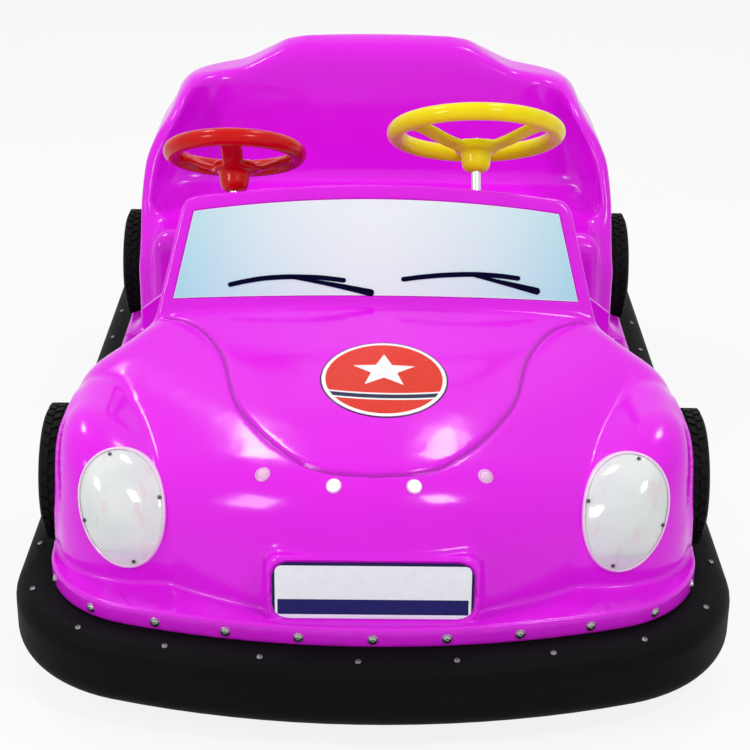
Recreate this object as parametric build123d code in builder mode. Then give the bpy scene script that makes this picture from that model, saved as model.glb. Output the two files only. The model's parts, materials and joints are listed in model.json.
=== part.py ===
from build123d import *
import math
import os

# Battery bumper car: a glossy moulded body on a welded steel chassis, with a thick
# rubber bumper ring all round. The front of the car faces -Y, +X is the driver's
# left, +Z is up, and z = 0 is the floor under the three wheels.

os.makedirs("parts", exist_ok=True)

# Base skirt: the moulded band and ledge that every other panel stands on
skirt_half_width = 535
skirt_half_length = 930
skirt_crown_radius = 1300
skirt_corner_radius = 200
skirt_bottom_z = 165
skirt_height = 35
skirt_wall = 12
ledge_thickness = 8
ledge_width = 100
skirt_edge_radius = 10

# Rubber bumper ring and the steel hoop that it is screwed to
ring_reach = 62
ring_seat_inset = 8
ring_bottom_z = 50
ring_edge_radius = 34
hoop_thickness = 6
hoop_bottom_z = 72

# Chassis: two rails, cross members and a floor plate
rail_spacing = 540
rail_width = 30
rail_height = 30
floor_thickness = 5
floor_top_z = 155
cross_member_y = (-780, -320, 120, 330, 620)

# Front body: nose, hood and cowl
nose_front_y = -894
nose_half_width = 307
nose_side_y = -796
nose_brow_y = -885
nose_brow_z = 305
nose_bend_y = -862
nose_bend_z = 388
hood_tip_y = -826
hood_tip_z = 420
cowl_z = 512
cowl_rear_y = -205
hood_headroom = 60
cowl_half_width = 386
cowl_shoulder_radius = 50
front_wall = 14
hood_start_y = -910
hood_sections = (
    # y, half width, drop below the cowl, shoulder radius
    (hood_start_y, 252, 100, 40),
    (nose_side_y, 307, 80, 48),
    (-660, 372, 46, 58),
    (-480, 432, 27, 64),
    (-340, 400, 4, 58),
    (cowl_rear_y, cowl_half_width, 0, cowl_shoulder_radius),
)

# Fender pods, lofted from the lamp faces back to the cowl
pod_half_width = 534
pod_front_y = -798
pod_inner_x = 250
pod_lean = 16
pod_sections = (
    # y, side inset, drop below the cowl, shoulder radius
    (pod_front_y, 182, 212, 50),
    (-778, 98, 154, 66),
    (-738, 42, 106, 78),
    (-668, 8, 74, 86),
    (-540, 0, 60, 88),
    (-420, 16, 52, 84),
    (-310, 44, 60, 80),
    (cowl_rear_y, 64, 76, 70),
)

# Shield groove on the hood and number plate pocket in the nose
groove_width = 7
groove_depth = 4
groove_tip_y = -826
groove_end_x = 390
groove_end_y = -322
groove_bend_radius = 30
groove_points = (
    # x, y from the cowl to the tip of the shield
    (375, -353),
    (306, -405),
    (258, -500),
    (233, -620),
    (198, -690),
    (152, -755),
)
plate_width = 313
plate_height = 95
plate_bottom_z = 205
plate_depth = 5
plate_corner_radius = 16

# Windscreen frame and its printed panel, leaning back
screen_bottom_y = -332
screen_bottom_z = 500
screen_lean = 24
screen_height = 198
screen_bottom_half_width = 385
screen_top_half_width = 340
screen_depth = 30
screen_border = 24
screen_recess = 6
panel_thickness = 4
screen_corner_radius = 22
screen_inner_corner_radius = 3
screen_top_rise = 10
screen_edge_radius = 7

# Dashboard and footwell bulkhead
bulkhead_thickness = 8
dash_lip_z = 372
dash_depth = 66
dash_chin_drop = 33
dash_brow_drop = 22
dash_top_depth = 33
dash_half_width = 372
dash_edge_radius = 16
sill_gap = 2

# Rear body: seat shell, wings and tail
rear_half_width = 508
rear_front_y = 268
rear_tail_y = 894
rear_crown_radius = 1250
rear_corner_radius = 210
shell_thickness = 28
back_top_z = 746
back_top_half_width = 200
back_step_z = 704
back_step_half_width = 285
wing_shoulder_half_width = 400
wing_shoulder_z = 668
wing_top_half_width = 460
wing_top_z = 612
wing_side_half_width = 491
wing_side_z = 560
side_top_z = 452
wing_tip_z = 352
wing_tip_y = 325
wing_toe_z = 411
wing_rise_y = 370
wing_rise_z = 487
wing_top_y = 450
back_shoulder_y = 530
back_y = 650
deck_y = 705
deck_bend_y = 800
deck_bend_z = 640
tail_brow_y = 872
tail_brow_z = 420
rear_edge_radius = 30
seat_corner_radius = 45
seat_back_foot_y = 575

# Seat bench
seat_front_y = 250
seat_top_z = 426
seat_wall = 10
seat_edge_radius = 22
seat_nose = 14

# Dummy road wheels on the body sides
dummy_radius = 113
dummy_width = 54
dummy_ring_gap = 3
dummy_front_stand = 22
dummy_rear_stand = 42
dummy_gap = 12
dummy_bead_depth = 5
dummy_front_y = -560
dummy_rear_y = 465
cap_radius = 66
cap_sink = 8
cap_rim_width = 9
cap_dish = 8
cap_nut_radius = 24
cap_nut_height = 10
dummy_shoulder_radius = 12

# Lamps
headlamp_x = 392
headlamp_y = -786
headlamp_z = 335
headlamp_width = 128
headlamp_height = 160
headlamp_depth = 34
headlamp_edge_radius = 26
headlamp_turn = 22
headlamp_rake = 24
headlamp_seat = 40
nose_lamp_radius = 15
nose_lamp_depth = 14
nose_lamp_y = -857
nose_lamp_z = 400
nose_lamp_sweep = 0.12
nose_lamp_rise = 0.09
nose_lamp_slope = 1.6
nose_lamp_x = (-174, -62, 62, 174)

# Drive unit: swivel fork with the driven wheel at the front centre
drive_y = -550
drive_radius = 100
drive_tyre_width = 60
drive_rim_radius = 66
fork_leg_x = 48
fork_leg_thickness = 8
fork_leg_width = 62
fork_leg_top_width = 96
fork_crown_z = 214
fork_crown_thickness = 10
fork_crown_radius = 84
kingpin_radius = 18
kingpin_top_z = 300
bearing_outer_radius = 44
bearing_bottom_z = 232
bearing_height = 54
bearing_gap = 0.05
carrier_span = 150
carrier_member = 34
motor_radius = 45
motor_length = 112
motor_flange_radius = 52
motor_flange = 14
motor_end_radius = 38
motor_end = 16
motor_z = 110
axle_radius = 10
axle_end_gap = 1
hub_sink = 6
tyre_shoulder_radius = 8
carrier_half = 240
carrier_plate = 8

# Rear running gear
rear_axle_y = 450
rear_track = 700
rear_radius = 100
rear_tyre_width = 50
rear_rim_radius = 64
rear_axle_radius = 12
rear_axle_half = 390
hub_boss_radius = 26
hub_web = 12
hub_rim_wall = 8
hanger_width = 70
hanger_thickness = 8
running_gap = 0.05
wheel_slot_gap = 18

# Steering wheels and columns
column_lean = 31.5
main_wheel_x = 183
main_wheel_y = -80
main_wheel_z = 742
main_wheel_radius = 149
child_wheel_x = -264
child_wheel_y = -80
child_wheel_z = 700
child_wheel_radius = 117
rim_tube_radius = 16
spoke_count = 3
spoke_width = 34
spoke_thickness = 12
cup_radius = 30
cup_depth = 52
cup_sleeve_radius = 16
hub_disc_radius = 44
hub_disc_drop = 8
column_radius = 9
column_gap = 0.05
column_end_depth = 60

# Battery under the seat and the accelerator pedal
battery_length = 330
battery_width = 180
battery_height = 200
battery_y = 440
battery_edge_radius = 8
battery_lid_height = 14
battery_lid_step = 5
pedal_width = 90
pedal_length = 150
pedal_tilt = math.radians(35)
pedal_x = 60
pedal_y = -40
pedal_heel = 24
pedal_sheet = 7


def crown_outline(half_width, half_length, crown_radius, corner_radius, grow):
    """Closed plan outline: crowned front and rear, round corners, straight sides."""
    crown = crown_radius + grow
    corner = corner_radius + grow
    corner_x = half_width - corner_radius
    centre_y = crown_radius - half_length
    reach = crown_radius - corner_radius
    corner_y = centre_y - math.sqrt(reach**2 - corner_x**2)
    meet_x = corner_x / reach * crown
    meet_y = centre_y + (corner_y - centre_y) / reach * crown
    slant = math.radians(45)
    bend_x = corner_x + corner * math.cos(slant)
    bend_y = corner_y - corner * math.sin(slant)
    side_x = half_width + grow
    end_y = -half_length - grow
    with BuildSketch() as outline:
        with BuildLine():
            ThreePointArc((-meet_x, meet_y), (0, end_y), (meet_x, meet_y))
            ThreePointArc((meet_x, meet_y), (bend_x, bend_y), (side_x, corner_y))
            Line((side_x, corner_y), (side_x, 0))
            Line((side_x, 0), (side_x, -corner_y))
            ThreePointArc((side_x, -corner_y), (bend_x, -bend_y), (meet_x, -meet_y))
            ThreePointArc((meet_x, -meet_y), (0, -end_y), (-meet_x, -meet_y))
            ThreePointArc((-meet_x, -meet_y), (-bend_x, -bend_y), (-side_x, -corner_y))
            Line((-side_x, -corner_y), (-side_x, corner_y))
            ThreePointArc((-side_x, corner_y), (-bend_x, bend_y), (-meet_x, meet_y))
        make_face()
    return outline.sketch


def skirt_outline(grow):
    """Plan outline of the base skirt, moved out by grow."""
    return crown_outline(
        skirt_half_width, skirt_half_length, skirt_crown_radius, skirt_corner_radius, grow
    )


# Base skirt
skirt_top_z = skirt_bottom_z + skirt_height
ledge_bottom_z = skirt_top_z - ledge_thickness
with BuildPart() as base_skirt:
    with BuildSketch(Plane.XY.offset(skirt_bottom_z)):
        add(skirt_outline(0))
    extrude(amount=skirt_height)
    fillet(base_skirt.faces().sort_by(Axis.Z)[-1].outer_wire().edges(), skirt_edge_radius)
    with BuildSketch(Plane.XY.offset(skirt_bottom_z)):
        add(skirt_outline(-skirt_wall))
    extrude(amount=skirt_height - ledge_thickness, mode=Mode.SUBTRACT)
    with BuildSketch(Plane.XY.offset(floor_top_z)):
        add(skirt_outline(ledge_thickness - ledge_width))
    extrude(amount=skirt_top_z - floor_top_z)
    with BuildSketch(Plane.XY.offset(floor_top_z)):
        add(skirt_outline(-ledge_width))
    extrude(amount=skirt_top_z - floor_top_z, mode=Mode.SUBTRACT)

# Bumper ring
with BuildPart() as bumper_ring:
    with BuildSketch(Plane.XY.offset(ring_bottom_z)):
        add(skirt_outline(ring_reach))
    extrude(amount=skirt_bottom_z - ring_bottom_z)
    fillet(bumper_ring.faces().sort_by(Axis.Z)[-1].edges(), ring_edge_radius)
    fillet(bumper_ring.faces().sort_by(Axis.Z)[0].edges(), ring_edge_radius)
    with BuildSketch(Plane.XY.offset(ring_bottom_z)):
        add(skirt_outline(-ring_seat_inset))
    extrude(amount=skirt_bottom_z - ring_bottom_z, mode=Mode.SUBTRACT)
bumper_ring.part.label = "bumper_ring"
export_step(bumper_ring.part, "parts/bumper_ring.step")

# Chassis hoop: the steel band that the rubber ring is screwed to
hoop_inset = ring_seat_inset + hoop_thickness
with BuildPart() as chassis_hoop:
    with BuildSketch(Plane.XY.offset(hoop_bottom_z)):
        add(skirt_outline(-ring_seat_inset))
        add(skirt_outline(-hoop_inset), mode=Mode.SUBTRACT)
    extrude(amount=skirt_bottom_z - hoop_bottom_z)
chassis_hoop.part.label = "chassis_hoop"
export_step(chassis_hoop.part, "parts/chassis_hoop.step")

# Chassis frame: rails and cross members welded together inside the hoop
rail_top_z = floor_top_z - floor_thickness
rail_x = rail_spacing / 2
rail_bottom_z = rail_top_z - rail_height
with BuildPart() as chassis_frame:
    with BuildSketch(Plane.XY.offset(rail_bottom_z)):
        with Locations((-rail_x, 0), (rail_x, 0)):
            Rectangle(rail_width, 2 * skirt_half_length)
        with Locations([(0, y) for y in cross_member_y]):
            Rectangle(2 * skirt_half_width, rail_width)
        add(skirt_outline(-hoop_inset), mode=Mode.INTERSECT)
    extrude(amount=rail_height)
chassis_frame.part.label = "chassis_frame"
export_step(chassis_frame.part, "parts/chassis_frame.step")

# Floor plate with the openings for the drive unit and the rear wheels
drive_sweep = math.hypot(fork_leg_x + fork_leg_thickness + motor_length, motor_radius)
drive_hole_half = drive_sweep + wheel_slot_gap / 2
rear_wheel_x = rear_track / 2
with BuildPart() as floor_pan:
    with BuildSketch(Plane.XY.offset(rail_top_z)):
        add(skirt_outline(-hoop_inset))
        with Locations((0, drive_y)):
            Rectangle(2 * drive_hole_half, 2 * drive_hole_half, mode=Mode.SUBTRACT)
        with Locations((-rear_wheel_x, rear_axle_y), (rear_wheel_x, rear_axle_y)):
            Rectangle(
                rear_tyre_width + wheel_slot_gap,
                2 * (rear_radius + wheel_slot_gap),
                mode=Mode.SUBTRACT,
            )
    extrude(amount=floor_thickness)
floor_pan.part.label = "floor_pan"
export_step(floor_pan.part, "parts/floor_pan.step")


def nose_core(inset):
    """Nose, hood and cowl in one block, its faces moved in by inset, open below."""
    foot_z = skirt_top_z - inset
    corner_y = nose_side_y + inset
    roof_z = cowl_z + hood_headroom
    brow = (nose_brow_y + inset, nose_brow_z - inset)
    bend = (nose_bend_y + inset, nose_bend_z - inset)
    tip = (hood_tip_y + inset, hood_tip_z - inset)
    with BuildPart() as core:
        for section_y, half_width, drop, shoulder in hood_sections:
            y = section_y - inset if section_y == cowl_rear_y else section_y
            side_x = half_width - inset
            crown_z = cowl_z - drop - inset
            with BuildSketch(Plane.XZ.offset(-y)) as section:
                Polygon(
                    (-side_x, foot_z),
                    (side_x, foot_z),
                    (side_x, crown_z),
                    (-side_x, crown_z),
                    align=None,
                )
                fillet(section.vertices().group_by(Axis.Z)[-1], shoulder)
        loft()
        with BuildSketch():
            with BuildLine():
                ThreePointArc(
                    (-nose_half_width, corner_y),
                    (0, nose_front_y + inset),
                    (nose_half_width, corner_y),
                )
                Polyline(
                    (nose_half_width, corner_y),
                    (pod_half_width, corner_y),
                    (pod_half_width, 0),
                    (-pod_half_width, 0),
                    (-pod_half_width, corner_y),
                    (-nose_half_width, corner_y),
                )
            make_face()
        extrude(amount=roof_z, mode=Mode.INTERSECT)
        with BuildSketch(Plane.YZ.offset(-pod_half_width)):
            with BuildLine():
                Line((nose_front_y + inset, foot_z), brow)
                ThreePointArc(brow, bend, tip)
                Polyline(
                    tip,
                    (nose_side_y, roof_z),
                    (0, roof_z),
                    (0, foot_z),
                    (nose_front_y + inset, foot_z),
                )
            make_face()
        extrude(amount=2 * pod_half_width, mode=Mode.INTERSECT)
    return core.part


def fender_pod(inset):
    """One fender pod on the +X side, its faces moved in by inset, open below."""
    foot_z = skirt_top_z - inset
    with BuildPart() as pod:
        for section_y, side_inset, drop, shoulder in pod_sections:
            end_shift = {pod_front_y: inset, cowl_rear_y: -inset}.get(section_y, 0)
            foot_x = pod_half_width - side_inset - inset
            crown_z = cowl_z - drop - inset
            with BuildSketch(Plane.XZ.offset(-section_y - end_shift)) as section:
                Polygon(
                    (pod_inner_x, foot_z),
                    (foot_x, foot_z),
                    (foot_x - pod_lean, crown_z),
                    (pod_inner_x, crown_z),
                    align=None,
                )
                fillet(section.vertices().sort_by(Axis.X)[-2:].sort_by(Axis.Z)[-1], shoulder)
        loft()
    return pod.part


# Windscreen frame plane: origin at the foot of the screen, local y up the screen
screen_plane = Plane(
    origin=(0, screen_bottom_y, screen_bottom_z),
    x_dir=(1, 0, 0),
    z_dir=(0, -math.cos(math.radians(screen_lean)), math.sin(math.radians(screen_lean))),
)


def screen_outline(inset):
    """Windscreen outline on its own plane, its edges moved in by inset."""
    with BuildSketch() as outline:
        with BuildLine():
            Polyline(
                (-screen_bottom_half_width + inset, inset),
                (screen_bottom_half_width - inset, inset),
                (screen_top_half_width - inset, screen_height - inset),
                (-screen_top_half_width + inset, screen_height - inset),
                close=True,
            )
        make_face()
        top = outline.vertices().group_by(Axis.Y)[-1]
        fillet(top, max(screen_corner_radius - inset, screen_inner_corner_radius))
    return outline.sketch


# The dummy wheels stand just above the ring
dummy_z = skirt_bottom_z + dummy_ring_gap + dummy_radius


def wheel_well(seat_x, wheel_y, radius, depth, side):
    """Round pocket in a body side: its floor at seat_x, open outward."""
    with BuildPart() as well:
        with BuildSketch(Plane.YZ.offset(side * seat_x)):
            with Locations((wheel_y, dummy_z)):
                Circle(radius)
        extrude(amount=side * depth)
    return well.part


# Dummy road wheels stand in pockets in the body sides
dummy_places = (
    # place, wheel y, x of the tyre's outer face
    ("front", dummy_front_y, pod_half_width + dummy_front_stand),
    ("rear", dummy_rear_y, rear_half_width + dummy_rear_stand),
)
front_seat_x = dummy_places[0][2] - dummy_width
rear_seat_x = dummy_places[1][2] - dummy_width
pocket_radius = dummy_radius + dummy_gap

# Base skirt, notched where the dummy wheels stand down into it
with BuildPart() as notched_skirt:
    add(base_skirt.part)
    for side in (-1, 1):
        add(wheel_well(front_seat_x, dummy_front_y, pocket_radius, dummy_width, side), mode=Mode.SUBTRACT)
        add(wheel_well(rear_seat_x, dummy_rear_y, pocket_radius, dummy_width, side), mode=Mode.SUBTRACT)
notched_skirt.part.label = "base_skirt"
export_step(notched_skirt.part, "parts/base_skirt.step")

# Front body: a moulded shell with wheel pockets, the shield groove and the plate pocket
with BuildPart() as front_body:
    for inset, mode in ((0, Mode.ADD), (front_wall, Mode.SUBTRACT)):
        add(nose_core(inset), mode=mode)
        add(fender_pod(inset), mode=mode)
        add(fender_pod(inset).mirror(Plane.YZ), mode=mode)
    for side in (-1, 1):
        outer_pod = fender_pod(0) if side > 0 else fender_pod(0).mirror(Plane.YZ)
        cup = wheel_well(
            front_seat_x - front_wall, dummy_front_y, pocket_radius + front_wall, dummy_width, side
        )
        add(cup.intersect(outer_pod))
        add(wheel_well(front_seat_x, dummy_front_y, pocket_radius, dummy_width, side), mode=Mode.SUBTRACT)


def shield_outline(grow):
    """Shield on the hood in plan, its open end hidden under the windscreen foot."""
    right_half = [(groove_end_x, groove_end_y), *groove_points]
    left_half = [(-x, y) for x, y in reversed(right_half)]
    with BuildSketch() as shield:
        Polygon(*right_half, (0, groove_tip_y), *left_half, align=None)
        fillet(shield.vertices().filter_by(lambda corner: corner.Y < groove_end_y - 1), groove_bend_radius)
        offset(amount=grow, kind=Kind.INTERSECTION)
    return shield.sketch


# Tools for the shield groove in the hood and the plate pocket in the nose
with BuildPart() as shield_groove:
    with BuildSketch(Plane.XY.offset(skirt_top_z)):
        add(shield_outline(groove_width / 2))
        add(shield_outline(-groove_width / 2), mode=Mode.SUBTRACT)
    extrude(amount=cowl_z - skirt_top_z)
with BuildPart() as plate_pocket:
    with BuildSketch(Plane.XZ.offset(-nose_side_y)):
        with Locations((0, plate_bottom_z)):
            RectangleRounded(
                plate_width, plate_height, plate_corner_radius, align=(Align.CENTER, Align.MIN)
            )
    extrude(amount=nose_side_y - nose_front_y)

# Windscreen frame, seated in a slot in the cowl
with BuildPart() as windscreen_frame:
    with BuildSketch(screen_plane.offset(-screen_depth)):
        add(screen_outline(0))
    extrude(amount=screen_depth)
    fillet(windscreen_frame.faces().sort_by(Axis.Y)[0].edges(), screen_edge_radius)
    with BuildSketch(screen_plane.offset(-screen_recess)):
        add(screen_outline(screen_border))
    extrude(amount=2 * screen_recess, mode=Mode.SUBTRACT)
windscreen_frame.part.label = "windscreen_frame"
export_step(windscreen_frame.part, "parts/windscreen_frame.step")

# Printed windscreen panel in its recess
with BuildPart() as windscreen_panel:
    with BuildSketch(screen_plane.offset(-screen_recess)):
        add(screen_outline(screen_border))
    extrude(amount=panel_thickness)
windscreen_panel.part.label = "windscreen_panel"
export_step(windscreen_panel.part, "parts/windscreen_panel.step")

# Steering columns: both lean back by the same angle
column_tilt = math.radians(column_lean)


def column_plane(wheel_x, wheel_y, wheel_z):
    """Plane of a steering wheel: local z runs up the column, local y up the wheel."""
    return Plane(
        origin=(wheel_x, wheel_y, wheel_z),
        x_dir=(1, 0, 0),
        z_dir=(0, math.sin(column_tilt), math.cos(column_tilt)),
    )


def column_depth(wheel_z, z):
    """Distance along the column from the wheel's centre down to the height z."""
    return (wheel_z - z) / math.cos(column_tilt)


column_end_z = hood_tip_z - 2 * front_wall - column_end_depth
main_plane = column_plane(main_wheel_x, main_wheel_y, main_wheel_z)
child_plane = column_plane(child_wheel_x, child_wheel_y, child_wheel_z)

# Dashboard: footwell bulkhead with the padded dash along its top
lip_half_width = skirt_half_width - ledge_width - sill_gap
bulkhead_shoulder_z = cowl_z - pod_sections[-1][2]
with BuildPart() as dashboard:
    with BuildSketch(Plane.XZ.offset(-cowl_rear_y)):
        Polygon(
            (-lip_half_width, floor_top_z),
            (lip_half_width, floor_top_z),
            (lip_half_width, bulkhead_shoulder_z),
            (cowl_half_width - cowl_shoulder_radius, cowl_z),
            (cowl_shoulder_radius - cowl_half_width, cowl_z),
            (-lip_half_width, bulkhead_shoulder_z),
            align=None,
        )
    extrude(amount=-bulkhead_thickness)
    with BuildSketch(Plane.YZ) as dash_profile:
        Polygon(
            (cowl_rear_y, dash_lip_z - dash_chin_drop),
            (cowl_rear_y + dash_depth, dash_lip_z),
            (cowl_rear_y + dash_depth, cowl_z - dash_brow_drop),
            (cowl_rear_y + dash_top_depth, cowl_z),
            (cowl_rear_y, cowl_z),
            align=None,
        )
        fillet(dash_profile.vertices().group_by(Axis.X)[-1], dash_edge_radius)
    extrude(amount=dash_half_width, both=True)


def rear_block(inset):
    """Rear body in one block from its plan, side and rear views, moved in by inset."""
    foot_z = skirt_top_z - inset
    with BuildPart() as block:
        with BuildSketch(Plane.XY.offset(skirt_top_z)):
            add(crown_outline(rear_half_width, rear_tail_y, rear_crown_radius, rear_corner_radius, -inset))
            with Locations((0, rear_front_y + inset)):
                Rectangle(
                    3 * rear_half_width,
                    3 * rear_tail_y,
                    align=(Align.CENTER, Align.MAX),
                    mode=Mode.SUBTRACT,
                )
        extrude(amount=back_top_z - skirt_top_z)
        with BuildSketch(Plane.YZ) as side_view:
            with BuildLine():
                Polyline(
                    (rear_front_y, foot_z),
                    (rear_front_y, wing_tip_z),
                    (wing_tip_y, wing_toe_z),
                    (wing_rise_y, wing_rise_z),
                    (wing_top_y, wing_top_z),
                    (back_shoulder_y, wing_shoulder_z),
                    (back_y, back_top_z),
                    (deck_y, back_top_z),
                )
                ThreePointArc((deck_y, back_top_z), (deck_bend_y, deck_bend_z), (tail_brow_y, tail_brow_z))
                Polyline((tail_brow_y, tail_brow_z), (rear_tail_y, foot_z), (rear_front_y, foot_z))
            make_face()
            if not inset:
                rim_corners = side_view.vertices().filter_by(
                    lambda corner: wing_tip_z < corner.Z + 1 and corner.Y < deck_y - 1
                )
                fillet(rim_corners, rear_edge_radius)
            if inset:
                offset(amount=-inset, kind=Kind.INTERSECTION)
        extrude(amount=rear_half_width, both=True, mode=Mode.INTERSECT)
        with BuildSketch(Plane.XZ.offset(-rear_tail_y)) as rear_view:
            right_edge = (
                (rear_half_width, foot_z),
                (rear_half_width, side_top_z),
                (wing_side_half_width, wing_side_z),
                (wing_top_half_width, wing_top_z),
                (wing_shoulder_half_width, wing_shoulder_z),
                (back_step_half_width, back_step_z),
                (back_top_half_width, back_top_z),
            )
            left_edge = [(-x, z) for x, z in reversed(right_edge)]
            Polygon(*right_edge, *left_edge, align=None)
            if not inset:
                fillet(
                    rear_view.vertices().filter_by(lambda corner: corner.Z > skirt_top_z + 1),
                    rear_edge_radius,
                )
            if inset:
                offset(amount=-inset, kind=Kind.INTERSECTION)
        extrude(amount=rear_tail_y, mode=Mode.INTERSECT)
    return block.part


def seat_well(grow):
    """The space over the seat, open to the front and above, its back leaning rearward."""
    with BuildPart() as well:
        with BuildSketch(Plane.YZ):
            Polygon(
                (rear_front_y, skirt_top_z),
                (seat_back_foot_y + grow, skirt_top_z),
                (seat_back_foot_y + grow, seat_top_z),
                (back_y + grow, back_top_z),
                (rear_front_y, back_top_z),
                align=None,
            )
        extrude(amount=rear_half_width - shell_thickness + grow, both=True)
        back_corners = well.edges().filter_by(
            lambda edge: edge.center().Y > seat_back_foot_y - 1 and abs(edge.center().X) > 1
        )
        fillet(back_corners, seat_corner_radius + grow)
    return well.part


# Rear body: a shell with a hollow tail behind the seat back
with BuildPart() as rear_body:
    add(rear_block(0))
    add(rear_block(shell_thickness / 2).cut(seat_well(shell_thickness)), mode=Mode.SUBTRACT)
    add(seat_well(0), mode=Mode.SUBTRACT)
    for side in (-1, 1):
        add(wheel_well(rear_seat_x, dummy_rear_y, pocket_radius, dummy_width, side), mode=Mode.SUBTRACT)
rear_body.part.label = "rear_body"
export_step(rear_body.part, "parts/rear_body.step")

# Seat bench: a moulded box, open below over the axle and the battery
seat_half_width = rear_half_width - shell_thickness
with BuildPart() as seat_bench:
    with BuildSketch(Plane.YZ) as seat_profile:
        Polygon(
            (seat_front_y, skirt_top_z),
            (seat_back_foot_y, skirt_top_z),
            (seat_back_foot_y, seat_top_z),
            (seat_front_y - seat_nose, seat_top_z),
            (seat_front_y - seat_nose, seat_top_z - 2 * seat_edge_radius),
            align=None,
        )
        fillet(seat_profile.vertices().group_by(Axis.Y)[-1].sort_by(Axis.X)[0], seat_edge_radius)
    extrude(amount=seat_half_width, both=True)
    back_corners = seat_bench.edges().filter_by(Axis.Z).filter_by(
        lambda edge: edge.center().Y > seat_back_foot_y - 1
    )
    fillet(back_corners, seat_corner_radius)
    with BuildSketch(Plane.YZ):
        Polygon(
            (seat_front_y + seat_wall, skirt_top_z),
            (seat_back_foot_y - seat_wall, skirt_top_z),
            (seat_back_foot_y - seat_wall, seat_top_z - seat_wall),
            (seat_front_y + seat_wall, seat_top_z - seat_wall),
            align=None,
        )
    extrude(amount=seat_half_width - seat_wall, both=True, mode=Mode.SUBTRACT)
    with BuildSketch(Plane.XY.offset(floor_top_z)):
        with Locations((0, seat_front_y)):
            Rectangle(2 * lip_half_width, seat_wall, align=(Align.CENTER, Align.MIN))
    extrude(amount=skirt_top_z - floor_top_z)
seat_bench.part.label = "seat_bench"
export_step(seat_bench.part, "parts/seat_bench.step")


def revolve_plane(plane):
    """Sketch plane through a wheel's axle: local x runs out, local y along the axle."""
    return Plane(origin=plane.origin, x_dir=plane.x_dir, z_dir=-plane.y_dir)


# Dummy road wheels: a tyre ring round a dished cap with a raised nut cover
for place, wheel_y, reach in dummy_places:
    for side_name, side in (("left", 1), ("right", -1)):
        wheel_plane = Plane(
            origin=(side * (reach - dummy_width), wheel_y, dummy_z), x_dir=(0, 1, 0), z_dir=(side, 0, 0)
        )
        axle = Axis(wheel_plane.origin, wheel_plane.z_dir)
        with BuildPart() as dummy_tyre:
            with BuildSketch(revolve_plane(wheel_plane)) as tyre_section:
                Polygon(
                    (cap_radius, 0),
                    (dummy_radius, 0),
                    (dummy_radius, dummy_width),
                    (cap_radius + dummy_shoulder_radius, dummy_width),
                    (cap_radius, dummy_width - dummy_bead_depth),
                    align=None,
                )
                fillet(tyre_section.vertices().group_by(Axis.X)[-1], dummy_shoulder_radius)
            revolve(axis=axle)
        dummy_tyre.part.label = f"dummy_tyre_{place}_{side_name}"
        export_step(dummy_tyre.part, f"parts/dummy_tyre_{place}_{side_name}.step")
        cap_face = dummy_width - cap_sink
        with BuildPart() as dummy_cap:
            with BuildSketch(revolve_plane(wheel_plane)):
                Polygon(
                    (0, 0),
                    (cap_radius, 0),
                    (cap_radius, cap_face),
                    (cap_radius - cap_rim_width, cap_face),
                    (cap_nut_radius + cap_rim_width, cap_face - cap_dish),
                    (cap_nut_radius, cap_face - cap_dish),
                    (cap_nut_radius - cap_rim_width, cap_face - cap_dish + cap_nut_height),
                    (0, cap_face - cap_dish + cap_nut_height),
                    align=None,
                )
            revolve(axis=axle)
        dummy_cap.part.label = f"wheel_cap_{place}_{side_name}"
        export_step(dummy_cap.part, f"parts/wheel_cap_{place}_{side_name}.step")

# Headlamps: oval domes on the slanting fender faces
lamps = []
for side_name, side in (("left", 1), ("right", -1)):
    turn = math.radians(headlamp_turn)
    rake = math.radians(headlamp_rake)
    lamp_plane = Plane(
        origin=(side * headlamp_x, headlamp_y, headlamp_z),
        x_dir=(math.cos(turn), side * math.sin(turn), 0),
        z_dir=(side * math.sin(turn) * math.cos(rake), -math.cos(turn) * math.cos(rake), math.sin(rake)),
    )
    with BuildPart() as headlamp:
        with BuildSketch(lamp_plane.offset(-headlamp_seat)):
            Ellipse(headlamp_width / 2, headlamp_height / 2)
        extrude(amount=headlamp_depth + headlamp_seat)
        fillet(headlamp.faces().sort_by(Axis.Y)[0].edges(), headlamp_edge_radius)
    headlamp.part.label = f"headlamp_{side_name}"
    export_step(headlamp.part, f"parts/headlamp_{side_name}.step")
    lamps.append(headlamp.part)

# Nose lamps: four small round lamps across the brow
for number, lamp_x in enumerate(nose_lamp_x, start=1):
    lamp_y = nose_lamp_y + nose_lamp_sweep * abs(lamp_x)
    lamp_z = nose_lamp_z + nose_lamp_rise * abs(lamp_x)
    lamp_plane = Plane(origin=(lamp_x, lamp_y, lamp_z), x_dir=(1, 0, 0), z_dir=(0, -nose_lamp_slope, 1))
    with BuildPart() as nose_lamp:
        with BuildSketch(lamp_plane.offset(-nose_lamp_depth)):
            Circle(nose_lamp_radius)
        extrude(amount=2 * nose_lamp_depth)
    nose_lamp.part.label = f"nose_lamp_{number}"
    export_step(nose_lamp.part, f"parts/nose_lamp_{number}.step")
    lamps.append(nose_lamp.part)



def column_bore(plane, centre_z):
    """Clear bore for a steering column, from its wheel down to the skirt."""
    with BuildPart() as bore:
        with BuildSketch(plane):
            Circle(column_radius + column_gap)
        extrude(amount=-column_depth(centre_z, skirt_top_z))
    return bore.part


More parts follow.
